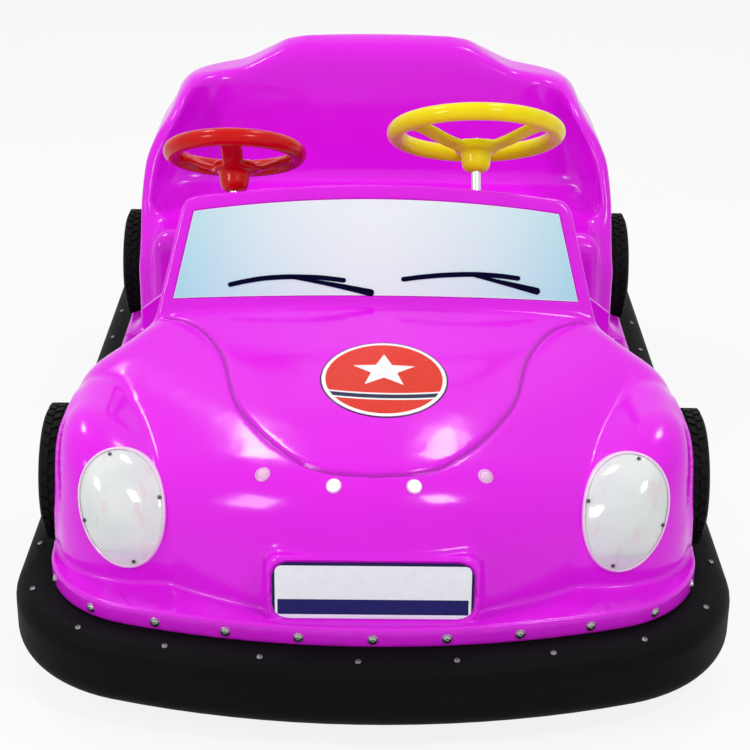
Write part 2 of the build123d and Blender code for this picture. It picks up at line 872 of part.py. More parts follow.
# Front body with its bores, lamp seats, screen slot, shield groove and plate pocket
bores = (column_bore(main_plane, main_wheel_z), column_bore(child_plane, child_wheel_z))
with BuildPart() as finished_front:
    add(front_body.part)
    for bore in bores:
        add(bore, mode=Mode.SUBTRACT)
    for lamp in lamps:
        add(lamp, mode=Mode.SUBTRACT)
    add(windscreen_frame.part, mode=Mode.SUBTRACT)
    add(shield_groove.part.cut(nose_core(groove_depth)), mode=Mode.SUBTRACT)
    add(plate_pocket.part.cut(nose_core(plate_depth)), mode=Mode.SUBTRACT)
finished_front.part.label = "front_body"
export_step(finished_front.part, "parts/front_body.step")
with BuildPart() as finished_dashboard:
    add(dashboard.part)
    for bore in bores:
        add(bore, mode=Mode.SUBTRACT)
finished_dashboard.part.label = "dashboard"
export_step(finished_dashboard.part, "parts/dashboard.step")

# Battery block under the seat
with BuildPart() as battery:
    with BuildSketch(Plane.XY.offset(floor_top_z)):
        with Locations((0, battery_y)):
            RectangleRounded(battery_length, battery_width, battery_edge_radius)
    extrude(amount=battery_height - battery_lid_height)
    with BuildSketch(Plane.XY.offset(floor_top_z + battery_height - battery_lid_height)):
        with Locations((0, battery_y)):
            RectangleRounded(
                battery_length - 2 * battery_lid_step,
                battery_width - 2 * battery_lid_step,
                battery_edge_radius,
            )
    extrude(amount=battery_lid_height)
battery.part.label = "battery"
export_step(battery.part, "parts/battery.step")

# Rear axle with its two hanger plates under the rails
with BuildPart() as rear_axle:
    with BuildSketch(Plane.YZ.offset(-rear_axle_half)):
        with Locations((rear_axle_y, rear_radius)):
            Circle(rear_axle_radius)
    extrude(amount=2 * rear_axle_half)
    for side in (-1, 1):
        with BuildSketch(Plane.YZ.offset(side * rail_x)):
            with Locations((rear_axle_y, rear_radius - 2 * rear_axle_radius)):
                Rectangle(
                    hanger_width,
                    rail_bottom_z - rear_radius + 2 * rear_axle_radius,
                    align=(Align.CENTER, Align.MIN),
                )
        extrude(amount=hanger_thickness / 2, both=True)
rear_axle.part.label = "rear_axle"
export_step(rear_axle.part, "parts/rear_axle.step")


def hub_section(bore_radius, rim_radius, half_width):
    """Half section of a wheel centre: boss, web and rim flange, symmetric about the web."""
    rim_inner = rim_radius - hub_rim_wall
    with BuildSketch() as section:
        Polygon(
            (bore_radius, -half_width),
            (hub_boss_radius, -half_width),
            (hub_boss_radius, -hub_web / 2),
            (rim_inner, -hub_web / 2),
            (rim_inner, -half_width),
            (rim_radius, -half_width),
            (rim_radius, half_width),
            (rim_inner, half_width),
            (rim_inner, hub_web / 2),
            (hub_boss_radius, hub_web / 2),
            (hub_boss_radius, half_width),
            (bore_radius, half_width),
            align=None,
        )
    return section.sketch


# Rear wheels
for side_name, side in (("left", 1), ("right", -1)):
    hub_plane = Plane(
        origin=(side * rear_wheel_x, rear_axle_y, rear_radius), x_dir=(0, 1, 0), z_dir=(side, 0, 0)
    )
    with BuildPart() as rear_tyre:
        with BuildSketch(hub_plane):
            Circle(rear_radius)
            Circle(rear_rim_radius, mode=Mode.SUBTRACT)
        extrude(amount=rear_tyre_width / 2, both=True)
        fillet(
            rear_tyre.edges().filter_by(GeomType.CIRCLE).group_by(SortBy.RADIUS)[-1], tyre_shoulder_radius
        )
    rear_tyre.part.label = f"rear_tyre_{side_name}"
    export_step(rear_tyre.part, f"parts/rear_tyre_{side_name}.step")
    hub_half = rear_tyre_width / 2 - hub_sink
    with BuildPart() as rear_hub:
        with BuildSketch(revolve_plane(hub_plane)):
            add(hub_section(rear_axle_radius + running_gap, rear_rim_radius, hub_half))
        revolve(axis=Axis(hub_plane.origin, hub_plane.z_dir))
    rear_hub.part.label = f"rear_hub_{side_name}"
    export_step(rear_hub.part, f"parts/rear_hub_{side_name}.step")

# Drive carrier: bridge over the floor opening with the swivel bearing
with BuildPart() as drive_carrier:
    for side in (-1, 1):
        with BuildSketch(Plane.XZ.offset(-drive_y - side * carrier_span + carrier_member / 2)):
            Polygon(
                (-carrier_half, floor_top_z),
                (-carrier_half, bearing_bottom_z),
                (carrier_half, bearing_bottom_z),
                (carrier_half, floor_top_z),
                (carrier_half - carrier_member, floor_top_z),
                (carrier_half - carrier_member, bearing_bottom_z - carrier_member),
                (carrier_member - carrier_half, bearing_bottom_z - carrier_member),
                (carrier_member - carrier_half, floor_top_z),
                align=None,
            )
        extrude(amount=-carrier_member)
    with BuildSketch(Plane.XY.offset(bearing_bottom_z)):
        with Locations((0, drive_y)):
            Rectangle(2 * carrier_span, 2 * carrier_span + carrier_member)
    extrude(amount=carrier_plate)
    with BuildSketch(Plane.XY.offset(bearing_bottom_z)):
        with Locations((0, drive_y)):
            Circle(bearing_outer_radius)
    extrude(amount=bearing_height)
    with BuildSketch(Plane.XY.offset(bearing_bottom_z)):
        with Locations((0, drive_y)):
            Circle(kingpin_radius + bearing_gap)
    extrude(amount=bearing_height, mode=Mode.SUBTRACT)
drive_carrier.part.label = "drive_carrier"
export_step(drive_carrier.part, "parts/drive_carrier.step")

# Drive fork: crown, two legs and the kingpin
with BuildPart() as drive_fork:
    with BuildSketch(Plane.XY.offset(fork_crown_z)):
        with Locations((0, drive_y)):
            Circle(fork_crown_radius)
    extrude(amount=fork_crown_thickness)
    with BuildSketch(Plane.XY.offset(fork_crown_z)):
        with Locations((0, drive_y)):
            Circle(kingpin_radius)
    extrude(amount=kingpin_top_z - fork_crown_z)
    for side in (-1, 1):
        with BuildSketch(Plane.YZ.offset(side * fork_leg_x)):
            Polygon(
                (drive_y - fork_leg_width / 2, drive_radius),
                (drive_y + fork_leg_width / 2, drive_radius),
                (drive_y + fork_leg_top_width / 2, fork_crown_z),
                (drive_y - fork_leg_top_width / 2, fork_crown_z),
                align=None,
            )
            with Locations((drive_y, drive_radius)):
                Circle(fork_leg_width / 2)
        extrude(amount=side * fork_leg_thickness)
    with BuildSketch(Plane.YZ):
        with Locations((drive_y, drive_radius)):
            Circle(axle_radius + running_gap)
    extrude(amount=fork_leg_x + fork_leg_thickness, both=True, mode=Mode.SUBTRACT)
drive_fork.part.label = "drive_fork"
export_step(drive_fork.part, "parts/drive_fork.step")

# Drive motor on the outer face of the fork's left leg: flange, body and end cap
motor_plane = Plane(
    origin=(fork_leg_x + fork_leg_thickness, drive_y, motor_z), x_dir=(0, 1, 0), z_dir=(1, 0, 0)
)
with BuildPart() as drive_motor:
    with BuildSketch(revolve_plane(motor_plane)):
        Polygon(
            (0, 0),
            (motor_flange_radius, 0),
            (motor_flange_radius, motor_flange),
            (motor_radius, motor_flange),
            (motor_radius, motor_length - motor_end),
            (motor_end_radius, motor_length - motor_end),
            (motor_end_radius, motor_length),
            (0, motor_length),
            align=None,
        )
    revolve(axis=Axis(motor_plane.origin, motor_plane.z_dir))
drive_motor.part.label = "drive_motor"
export_step(drive_motor.part, "parts/drive_motor.step")

# Drive wheel: axle and rim in one, with the tyre round it
axle_plane = Plane(origin=(0, drive_y, drive_radius), x_dir=(0, 1, 0), z_dir=(1, 0, 0))
with BuildPart() as drive_hub:
    with BuildSketch(revolve_plane(axle_plane)):
        add(hub_section(0, drive_rim_radius, drive_tyre_width / 2 - hub_sink))
    revolve(axis=Axis(axle_plane.origin, axle_plane.z_dir))
    with BuildSketch(Plane.YZ):
        with Locations((drive_y, drive_radius)):
            Circle(axle_radius)
    extrude(amount=fork_leg_x + fork_leg_thickness - axle_end_gap, both=True)
drive_hub.part.label = "drive_hub"
export_step(drive_hub.part, "parts/drive_hub.step")
with BuildPart() as drive_tyre:
    with BuildSketch(Plane.YZ):
        with Locations((drive_y, drive_radius)):
            Circle(drive_radius)
            Circle(drive_rim_radius, mode=Mode.SUBTRACT)
    extrude(amount=drive_tyre_width / 2, both=True)
    fillet(drive_tyre.edges().filter_by(GeomType.CIRCLE).group_by(SortBy.RADIUS)[-1], tyre_shoulder_radius)
drive_tyre.part.label = "drive_tyre"
export_step(drive_tyre.part, "parts/drive_tyre.step")

# Steering wheels and their columns
wheel_table = (
    # name, plane, radius, height of the centre, angle of the first spoke
    ("main", main_plane, main_wheel_radius, main_wheel_z, 90),
    ("child", child_plane, child_wheel_radius, child_wheel_z, 30),
)
for name, plane, radius, centre_z, first_spoke in wheel_table:
    with BuildPart() as steering_wheel:
        with BuildSketch(revolve_plane(plane)):
            with Locations((radius, 0)):
                Circle(rim_tube_radius)
        revolve(axis=Axis(plane.origin, plane.z_dir))
        with BuildSketch(plane.offset(-spoke_thickness / 2)):
            with PolarLocations(radius / 2, spoke_count, start_angle=first_spoke):
                Rectangle(radius, spoke_width)
        extrude(amount=spoke_thickness)
        with BuildSketch(revolve_plane(plane)):
            Polygon(
                (0, -cup_depth),
                (cup_sleeve_radius, -cup_depth),
                (cup_radius, -2 * hub_disc_drop),
                (hub_disc_radius, -hub_disc_drop),
                (hub_disc_radius, hub_disc_drop),
                (cup_radius, spoke_thickness),
                (0, spoke_thickness),
                align=None,
            )
        revolve(axis=Axis(plane.origin, plane.z_dir))
    steering_wheel.part.label = f"{name}_steering_wheel"
    export_step(steering_wheel.part, f"parts/{name}_steering_wheel.step")
    with BuildPart() as column:
        with BuildSketch(plane.offset(-cup_depth)):
            Circle(column_radius)
        extrude(amount=cup_depth - column_depth(centre_z, column_end_z))
    column.part.label = f"{name}_column"
    export_step(column.part, f"parts/{name}_column.step")

# Accelerator pedal on the footwell floor: a folded plate, open at both ends
pedal_tip_y = pedal_y - pedal_length * math.cos(pedal_tilt)
pedal_tip_z = floor_top_z + pedal_length * math.sin(pedal_tilt)
with BuildPart() as pedal:
    with BuildSketch(Plane.YZ.offset(pedal_x)):
        Polygon(
            (pedal_y, floor_top_z),
            (pedal_tip_y, pedal_tip_z),
            (pedal_tip_y - pedal_heel, floor_top_z),
            align=None,
        )
        offset(amount=-pedal_sheet, kind=Kind.INTERSECTION, mode=Mode.SUBTRACT)
    extrude(amount=pedal_width)
pedal.part.label = "pedal"
export_step(pedal.part, "parts/pedal.step")
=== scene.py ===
import json
import math

import bmesh
import bpy
import numpy as np
from mathutils import Matrix, Vector


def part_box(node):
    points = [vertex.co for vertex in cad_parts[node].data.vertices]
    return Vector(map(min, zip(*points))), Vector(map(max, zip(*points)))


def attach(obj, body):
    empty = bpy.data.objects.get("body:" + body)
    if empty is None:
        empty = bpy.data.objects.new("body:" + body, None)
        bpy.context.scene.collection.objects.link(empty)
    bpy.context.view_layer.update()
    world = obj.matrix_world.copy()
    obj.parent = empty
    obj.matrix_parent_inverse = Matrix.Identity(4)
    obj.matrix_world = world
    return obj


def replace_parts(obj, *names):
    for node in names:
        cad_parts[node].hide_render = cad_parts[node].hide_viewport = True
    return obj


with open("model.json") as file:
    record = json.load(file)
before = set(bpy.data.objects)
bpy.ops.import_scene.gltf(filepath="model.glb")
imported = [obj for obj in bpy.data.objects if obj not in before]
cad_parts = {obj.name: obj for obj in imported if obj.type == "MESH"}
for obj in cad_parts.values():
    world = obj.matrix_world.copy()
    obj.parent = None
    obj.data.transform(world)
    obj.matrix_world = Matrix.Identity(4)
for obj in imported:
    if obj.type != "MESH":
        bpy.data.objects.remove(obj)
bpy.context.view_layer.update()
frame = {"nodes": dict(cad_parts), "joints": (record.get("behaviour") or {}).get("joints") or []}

bl_info = {
    "name": "Battery Bumper Car",
    "version": (1, 0, 0),
    "blender": (4, 5, 0),
    "location": "View3D > Sidebar > Bumper Car",
    "description": "Dresses the packed bumper car: moulded shell, lamps, tyres, bolts, finishes and stage",
    "category": "Object",
}

NODES = frame["nodes"]
JOINTS = {joint["name"]: joint for joint in frame["joints"]}

# Forms: each is a distance in metres, below zero inside, on arrays x, y, z.
# The car is the same on both sides, so the shells take x as abs(x).
# A factor just under 1 keeps a sloping form near a true distance.


def soft_union(a, b, blend):
    """Join two forms with a fillet about as wide as blend."""
    near = np.maximum(blend - np.abs(a - b), 0) / blend
    return np.minimum(a, b) - near * near * blend / 4


def soft_cut(a, b, blend):
    """Keep what both forms share, with the edge between them rounded."""
    return -soft_union(-a, -b, blend)


def curve(v, knots):
    """Smooth curve through (position, value) knots, straight on beyond its ends."""
    place = np.array([k[0] for k in knots], float)
    value = np.array([k[1] for k in knots], float)
    rise = np.diff(value) / np.diff(place)
    slope = np.empty_like(value)
    slope[0], slope[-1] = rise[0], rise[-1]
    both = rise[:-1] * rise[1:]
    slope[1:-1] = np.where(both > 0, 2 * both / np.where(both > 0, rise[:-1] + rise[1:], 1), 0)
    i = np.clip(np.searchsorted(place, v) - 1, 0, len(place) - 2)
    h = place[i + 1] - place[i]
    s = (v - place[i]) / h
    t = np.clip(s, 0, 1)
    a = (1 + 2 * t) * (1 - t) ** 2 * value[i] + t * (1 - t) ** 2 * h * slope[i]
    b = t**2 * (3 - 2 * t) * value[i + 1] + t**2 * (t - 1) * h * slope[i + 1]
    before = np.where(s < 0, s * h * slope[i], 0)
    after = np.where(s > 1, (s - 1) * h * slope[i + 1], 0)
    return a + b + before + after


def crowned_plan(x, y, half_width, half_length, crown, corner):
    """Distance to the plan outline of the skirt: crowned ends, round corners."""
    corner_x = half_width - corner
    reach = crown - corner
    crown_y = crown - half_length
    corner_y = crown_y - math.sqrt(reach**2 - corner_x**2)
    limit = math.atan2(corner_x, crown_y - corner_y)
    y = -np.abs(y)
    side = x - half_width
    end = np.hypot(x, y - crown_y) - crown
    round_corner = np.hypot(x - corner_x, y - corner_y) - corner
    turn = np.arctan2(x, crown_y - y)
    return np.where(y >= corner_y, side, np.where(turn < limit, end, round_corner))


def rounded_slab(outline, thickness, radius):
    """An outline raised to a slab, both given as distances, edges rounded."""
    a = outline + radius
    b = thickness + radius
    return np.hypot(np.maximum(a, 0), np.maximum(b, 0)) + np.minimum(np.maximum(a, b), 0) - radius


# Hood: height of its crown along y, how far it falls to the sides, and its side lines in plan
HOOD_CROWN = ((-0.95, 0.392), (-0.83, 0.421), (-0.66, 0.466), (-0.50, 0.485), (-0.37, 0.496), (-0.20, 0.506))
HOOD_FALL = ((-0.90, 0.60), (-0.68, 0.40), (-0.45, 0.135), (-0.33, 0.04), (-0.20, 0.02))
SHOULDER_X = (
    (-0.80, 0.60), (-0.62, 0.56), (-0.50, 0.515), (-0.42, 0.462), (-0.34, 0.405), (-0.27, 0.375),
    (-0.20, 0.362),
)
WAIST_X = ((-0.80, 0.60), (-0.62, 0.56), (-0.50, 0.535), (-0.40, 0.52), (-0.30, 0.50), (-0.20, 0.482))
CROWN_SWEEP = 0.9
FALL_REACH = 0.5
NOSE_RADIUS = 0.53
NOSE_FOOT_Y = -0.902
NOSE_FOOT_Z = 0.20
NOSE_LEAN = 0.086
NOSE_ROLL = 0.095
WAIST_Z = 0.24
SHOULDER_RISE = 0.26
HOOD_SIDE_ROLL = 0.06


def hood(x, y, z):
    """Nose, hood and cowl with their shoulders drawn in to the windscreen pillars."""
    sweep = x * x / (2 * NOSE_RADIUS)
    crown = curve(y - sweep * CROWN_SWEEP, HOOD_CROWN) - curve(y, HOOD_FALL) * np.minimum(x, FALL_REACH) ** 2
    top = (z - crown) * 0.98
    face = (NOSE_FOOT_Y + NOSE_LEAN * (z - NOSE_FOOT_Z)) - (y - sweep)
    body = soft_cut(face, top, NOSE_ROLL)
    share = np.clip((z - WAIST_Z) / SHOULDER_RISE, 0, 1)
    share = share * share * (3 - 2 * share)
    side = (x - (curve(y, WAIST_X) * (1 - share) + curve(y, SHOULDER_X) * share)) * 0.94
    return soft_cut(body, side, HOOD_SIDE_ROLL)


# Fender pods: plan centre x, y and radius at the lamp and at the tail, and the crest's height along y
POD_FRONT = (0.352, -0.620, 0.180)
POD_REAR = (0.352, -0.430, 0.172)
POD_SQUARENESS = 2.3
POD_CROWN = (
    (-0.84, 0.386), (-0.78, 0.425), (-0.70, 0.458), (-0.62, 0.472), (-0.54, 0.472), (-0.48, 0.466),
    (-0.44, 0.453), (-0.38, 0.415), (-0.30, 0.340),
)
# How the pod draws in above a level and behind a line, and how round its crest is
POD_DRAFT = 0.10
POD_DRAFT_Z = 0.27
POD_TAPER = 0.2
POD_TAPER_Y = -0.40
POD_ROLL = 0.11
# Crease between hood and pod: its x and height along y, and the slope that rises from it
CREASE_X = (
    (-0.80, 0.308), (-0.77, 0.320), (-0.73, 0.338), (-0.64, 0.373), (-0.56, 0.405),
    (-0.50, 0.427), (-0.45, 0.447), (-0.38, 0.480),
)
CREASE_Z = (
    (-0.80, 0.300), (-0.77, 0.327), (-0.73, 0.359), (-0.64, 0.392), (-0.56, 0.415),
    (-0.50, 0.433), (-0.45, 0.444), (-0.38, 0.450),
)
CREASE_SLOPE = math.radians(33)
CREASE_ROLL = 0.07


def fender(x, y, z):
    """Fender pod: a rounded lamp face, a full crown and a tail that dies into the waist."""
    run = POD_REAR[1] - POD_FRONT[1]
    along = np.clip((y - POD_FRONT[1]) / run, 0, 1)
    radius = POD_FRONT[2] + (POD_REAR[2] - POD_FRONT[2]) * along
    across = np.abs(x - POD_FRONT[0]) ** POD_SQUARENESS
    ahead = np.abs(y - (POD_FRONT[1] + run * along)) ** POD_SQUARENESS
    plan = (across + ahead) ** (1 / POD_SQUARENESS) - radius
    plan = plan + POD_DRAFT * np.maximum(z - POD_DRAFT_Z, 0) + POD_TAPER * np.maximum(y - POD_TAPER_Y, 0)
    top = (z - curve(y, POD_CROWN)) * 0.96
    pod = soft_cut(plan, top, POD_ROLL)
    across = (curve(y, CREASE_X) - x) * math.sin(CREASE_SLOPE)
    above = (z - curve(y, CREASE_Z)) * math.cos(CREASE_SLOPE)
    return soft_cut(pod, (across + above) * 0.95, CREASE_ROLL)


SCREEN_LEAN = math.radians(24)
SCREEN_FOOT = (-0.332, 0.500)
SCREEN_HEIGHT = 0.198
SCREEN_HALF = (0.385, 0.340)
SCREEN_DEPTH = 0.030
# Height at the middle, and how it falls with x squared, of the frame's top and the panel's top and foot
FRAME_TOP = (0.213, 0.220)
PANE_TOP = (0.1886, 0.225)
PANE_FOOT = (0.0150, 0.062)
PANE_INSET = 0.022
PANE_CORNER = 0.004
PANE_RECESS = 0.006
PANE_EDGE = 0.003
FRAME_CORNER = 0.022
FRAME_ROOT = 0.06
FRAME_EDGE = 0.007
SCREEN_REACH = (-0.06, 0.26)


def screen_coordinates(y, z):
    """Height up the leaning screen, and depth behind its face."""
    up = (y - SCREEN_FOOT[0]) * math.sin(SCREEN_LEAN) + (z - SCREEN_FOOT[1]) * math.cos(SCREEN_LEAN)
    deep = (y - SCREEN_FOOT[0]) * math.cos(SCREEN_LEAN) - (z - SCREEN_FOOT[1]) * math.sin(SCREEN_LEAN)
    return up, deep


def screen_half(up):
    """Half width of the windscreen frame at a height up it."""
    return SCREEN_HALF[0] - (SCREEN_HALF[0] - SCREEN_HALF[1]) / SCREEN_HEIGHT * np.clip(up, *SCREEN_REACH)


def arched(line, x):
    """Height of an arched edge across the screen."""
    return line[0] - line[1] * x * x


def pane_field(x, up):
    """Distance on the screen's plane to the printed panel's outline."""
    field = soft_cut((x - screen_half(up) + PANE_INSET) * 0.98, up - arched(PANE_TOP, x), PANE_CORNER)
    return soft_cut(field, arched(PANE_FOOT, x) - up, PANE_CORNER)


def screen_frame(x, y, z):
    """Windscreen frame with a shallow recess for the printed panel."""
    up, deep = screen_coordinates(y, z)
    outline = soft_cut((x - screen_half(up)) * 0.975, up - arched(FRAME_TOP, x), FRAME_CORNER)
    outline = soft_cut(outline, -up - FRAME_ROOT, 0.01)
    frame_form = rounded_slab(outline, np.abs(deep - SCREEN_DEPTH / 2) - SCREEN_DEPTH / 2, FRAME_EDGE)
    recess = soft_cut(pane_field(x, up), deep - PANE_RECESS, PANE_EDGE)
    return soft_cut(frame_form, -recess, PANE_EDGE)


SKIRT_HALF_WIDTH = 0.535
SKIRT_HALF_LENGTH = 0.93
SKIRT_CROWN = 1.3
SKIRT_CORNER = 0.2
BAND_Z = 0.1825
BAND_HALF = 0.0175
BAND_EDGE = 0.0055
LEDGE_WIDTH = 0.1
UNDERCUT = 0.016
UNDERCUT_Z = 0.184


def skirt_plan(x, y, grow=0.0):
    """Distance in plan to the skirt's outline, moved out by grow."""
    return crowned_plan(x, y, SKIRT_HALF_WIDTH, SKIRT_HALF_LENGTH, SKIRT_CROWN, SKIRT_CORNER) - grow


def skirt(x, y, z):
    """Skirt band with its ledge, open in the middle."""
    band = rounded_slab(skirt_plan(x, y), np.abs(z - BAND_Z) - BAND_HALF, BAND_EDGE)
    under = soft_cut(skirt_plan(x, y, -UNDERCUT), z - UNDERCUT_Z, 0.004)
    return np.maximum(soft_cut(band, -skirt_plan(x, y, -LEDGE_WIDTH), 0.006), -under)


# Dummy wheels: centre y and z, radius and the x of the pocket's floor, read from the CAD tyres
POCKET_GAP = 0.012
POCKET_EDGE = 0.008
LIP_RISE = 0.004
LIP_WIDTH = 0.007


def wheel_place(place):
    """Centre y and z, radius and pocket floor of a dummy wheel."""
    low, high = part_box(f"dummy_tyre_{place}_left")
    centre = (low + high) / 2
    return centre.y, centre.z, (high.z - low.z) / 2, low.x


WHEEL_PLACES = {place: wheel_place(place) for place in ("front", "rear")}


def wheel_pocket(x, y, z, place, grow=0.0):
    """Round pocket for a dummy wheel, open outward."""
    centre_y, centre_z, radius, floor_x = WHEEL_PLACES[place]
    across = np.hypot(y - centre_y, z - centre_z) - radius - POCKET_GAP - grow
    return soft_cut(across, floor_x - grow - x, 0.006)


def arch_lip(x, y, z, place):
    """How much the shell stands up round a wheel's pocket, as a rolled lip."""
    centre_y, centre_z, radius, floor_x = WHEEL_PLACES[place]
    away = np.hypot(y - centre_y, z - centre_z) - radius - POCKET_GAP - LIP_WIDTH
    return LIP_RISE * np.exp(-((away / LIP_WIDTH) ** 2)) * np.clip((x - floor_x + 0.06) / 0.03, 0, 1)


# Shield line on the hood in plan, from the tip to under the windscreen
SHIELD = (
    (0.0, -0.829), (0.05, -0.824), (0.097, -0.808), (0.152, -0.757), (0.198, -0.690), (0.233, -0.615),
    (0.257, -0.500), (0.281, -0.440), (0.318, -0.385), (0.372, -0.350),
)
SHIELD_AT = np.linspace(0, 1, len(SHIELD))
SHIELD_ROUTE = np.stack(
    [curve(np.linspace(0, 1, 37), list(zip(SHIELD_AT, [knot[i] for knot in SHIELD]))) for i in (0, 1)], 1
)
# The groove along the shield line, which stays above a level, and the width of the painted shade that
# darkens it
GROOVE_DEPTH = 0.0042
GROOVE_WIDTH = 0.0034
GROOVE_SHADE_WIDTH = 0.0030
GROOVE_LOW_Z = 0.38


def shield_line(x, y):
    """Distance in plan to the line of the shield on the hood."""
    nearest = np.full(np.shape(x), 1.0)
    for (ax, ay), (bx, by) in zip(SHIELD_ROUTE[:-1], SHIELD_ROUTE[1:]):
        run = (bx - ax) ** 2 + (by - ay) ** 2
        t = np.clip(((x - ax) * (bx - ax) + (y - ay) * (by - ay)) / run, 0, 1)
        nearest = np.minimum(nearest, np.hypot(x - ax - (bx - ax) * t, y - ay - (by - ay) * t))
    return nearest


PLATE_HALF = 0.1565
PLATE_Z = (0.204, 0.300)
PAD_Y = -0.9055
PAD_SLOPE = 0.05
PAD_MARGIN = 0.010
PAD_FLARE = 0.016
PLATE_GAP = 0.0025
PLATE_DEPTH = 0.004
NOSE_BACK_Y = -0.80


def plate_field(x, z, grow=0.0):
    """Distance in the front view to the number plate's outline, its corners round."""
    up = np.abs(z - (PLATE_Z[0] + PLATE_Z[1]) / 2) - (PLATE_Z[1] - PLATE_Z[0]) / 2 - grow
    return soft_cut(x - PLATE_HALF - grow, up, 0.03)


def pad_face(y, z):
    """Distance ahead of the flat pad that carries the number plate."""
    return PAD_Y + PAD_SLOPE * (z - 0.25) - y


def nose_skin(x, y, z):
    """Nose and fenders joined, before the groove, the pockets and the hollow."""
    blend = 0.008 + 0.05 * np.clip((y + 0.50) / 0.12, 0, 1)
    return soft_union(hood(x, y, z), fender(x, y, z), blend)


FRONT_SEAM_Y = -0.2056
REAR_SEAM_Y = 0.2360
SEAM_EDGE = 0.0015
SHELL_FOOT_Z = 0.170
SHELL_WALL = 0.022
POCKET_WALL = 0.012
COWL_BACK_Y = -0.225
HOLLOW_TOP_Z = 0.43


def front_shell(x, y, z):
    """Front body on the front of the skirt, hollow, with the plate and wheel places."""
    x = np.abs(x)
    outer = nose_skin(x, y, z)
    groove = GROOVE_DEPTH * np.exp(-((shield_line(x, y) / GROOVE_WIDTH) ** 2))
    outer = outer + np.where(z > GROOVE_LOW_Z, groove, 0)
    pad = soft_cut(plate_field(x, z, PAD_MARGIN), pad_face(y, z), PAD_MARGIN)
    pad = soft_cut(pad, y - NOSE_BACK_Y, 0.002)
    outer = soft_union(outer, pad, PAD_FLARE)
    outer = outer - arch_lip(x, y, z, "front")
    outer = soft_cut(outer, SHELL_FOOT_Z - z, 0.004)
    inner = np.maximum(outer + SHELL_WALL, -wheel_pocket(x, y, z, "front", POCKET_WALL))
    inner = np.maximum(inner, y - COWL_BACK_Y)
    shell = soft_union(outer, skirt(x, y, z), 0.005 + 0.004 * np.clip((x - 0.16) / 0.06, 0, 1))
    pocket = soft_cut(plate_field(x, z, PLATE_GAP), y - NOSE_BACK_Y, 0.002)
    shell = soft_cut(shell, -soft_cut(pocket, -PLATE_DEPTH - pad_face(y, z), 0.002), 0.0015)
    shell = soft_union(shell, screen_frame(x, y, z), 0.010)
    inner = np.maximum(inner, 0.03 - np.maximum(HOLLOW_TOP_Z - z, 0) * 10)
    shell = soft_cut(shell, -inner, 0.006)
    shell = soft_cut(shell, -wheel_pocket(x, y, z, "front"), POCKET_EDGE)
    return soft_cut(shell, y - FRONT_SEAM_Y, SEAM_EDGE)


# Rear body: side line up the car, upper rim across it, wing edge and tail along it
REAR_SIDE_X = (
    (0.18, 0.510), (0.44, 0.510), (0.52, 0.500), (0.575, 0.477), (0.625, 0.446), (0.66, 0.432),
    (0.69, 0.415), (0.72, 0.36), (0.76, 0.20),
)
RIM_Z = (
    (0.0, 0.747), (0.15, 0.747), (0.19, 0.740), (0.24, 0.712), (0.31, 0.680), (0.36, 0.675),
    (0.41, 0.672), (0.44, 0.660), (0.52, 0.62),
)
WING_Z = (
    (0.20, 0.30), (0.268, 0.352), (0.325, 0.411), (0.37, 0.487), (0.42, 0.565), (0.45, 0.610),
    (0.50, 0.645), (0.58, 0.69), (0.66, 0.74),
)
TAIL_Y = (
    (0.18, 0.896), (0.30, 0.890), (0.42, 0.872), (0.54, 0.842), (0.64, 0.800), (0.70, 0.760),
    (0.76, 0.690),
)
REAR_PLAN = (0.512, 0.896, 1.25, 0.21)
REAR_FACE_Y = 0.262
REAR_WALL = 0.028
TAIL_BOW = 2.2
TAIL_ROLL = 0.10
RIM_ROLL = 0.022
# Backrest: where it meets the seat, its lean, its curl above a height and its bow across
BACK_Y = 0.578
BACK_Z = 0.426
BACK_LEAN = 0.18
BACK_CURL = 0.35
BACK_CURL_Z = 0.60
BACK_BOW = 0.10
WELL_FLOOR_Z = 0.424
WELL_CORNER = 0.045
BENCH_HALF = 0.470
BENCH_TOP_Z = 0.4275
BENCH_FRONT_Y = 0.238
BENCH_BACK_Y = 0.60
BENCH_ROLL = 0.050
# The room under the bench
ROOM_WALL = 0.015
ROOM_BACK_Y = 0.565
ROOM_TOP_Z = 0.405


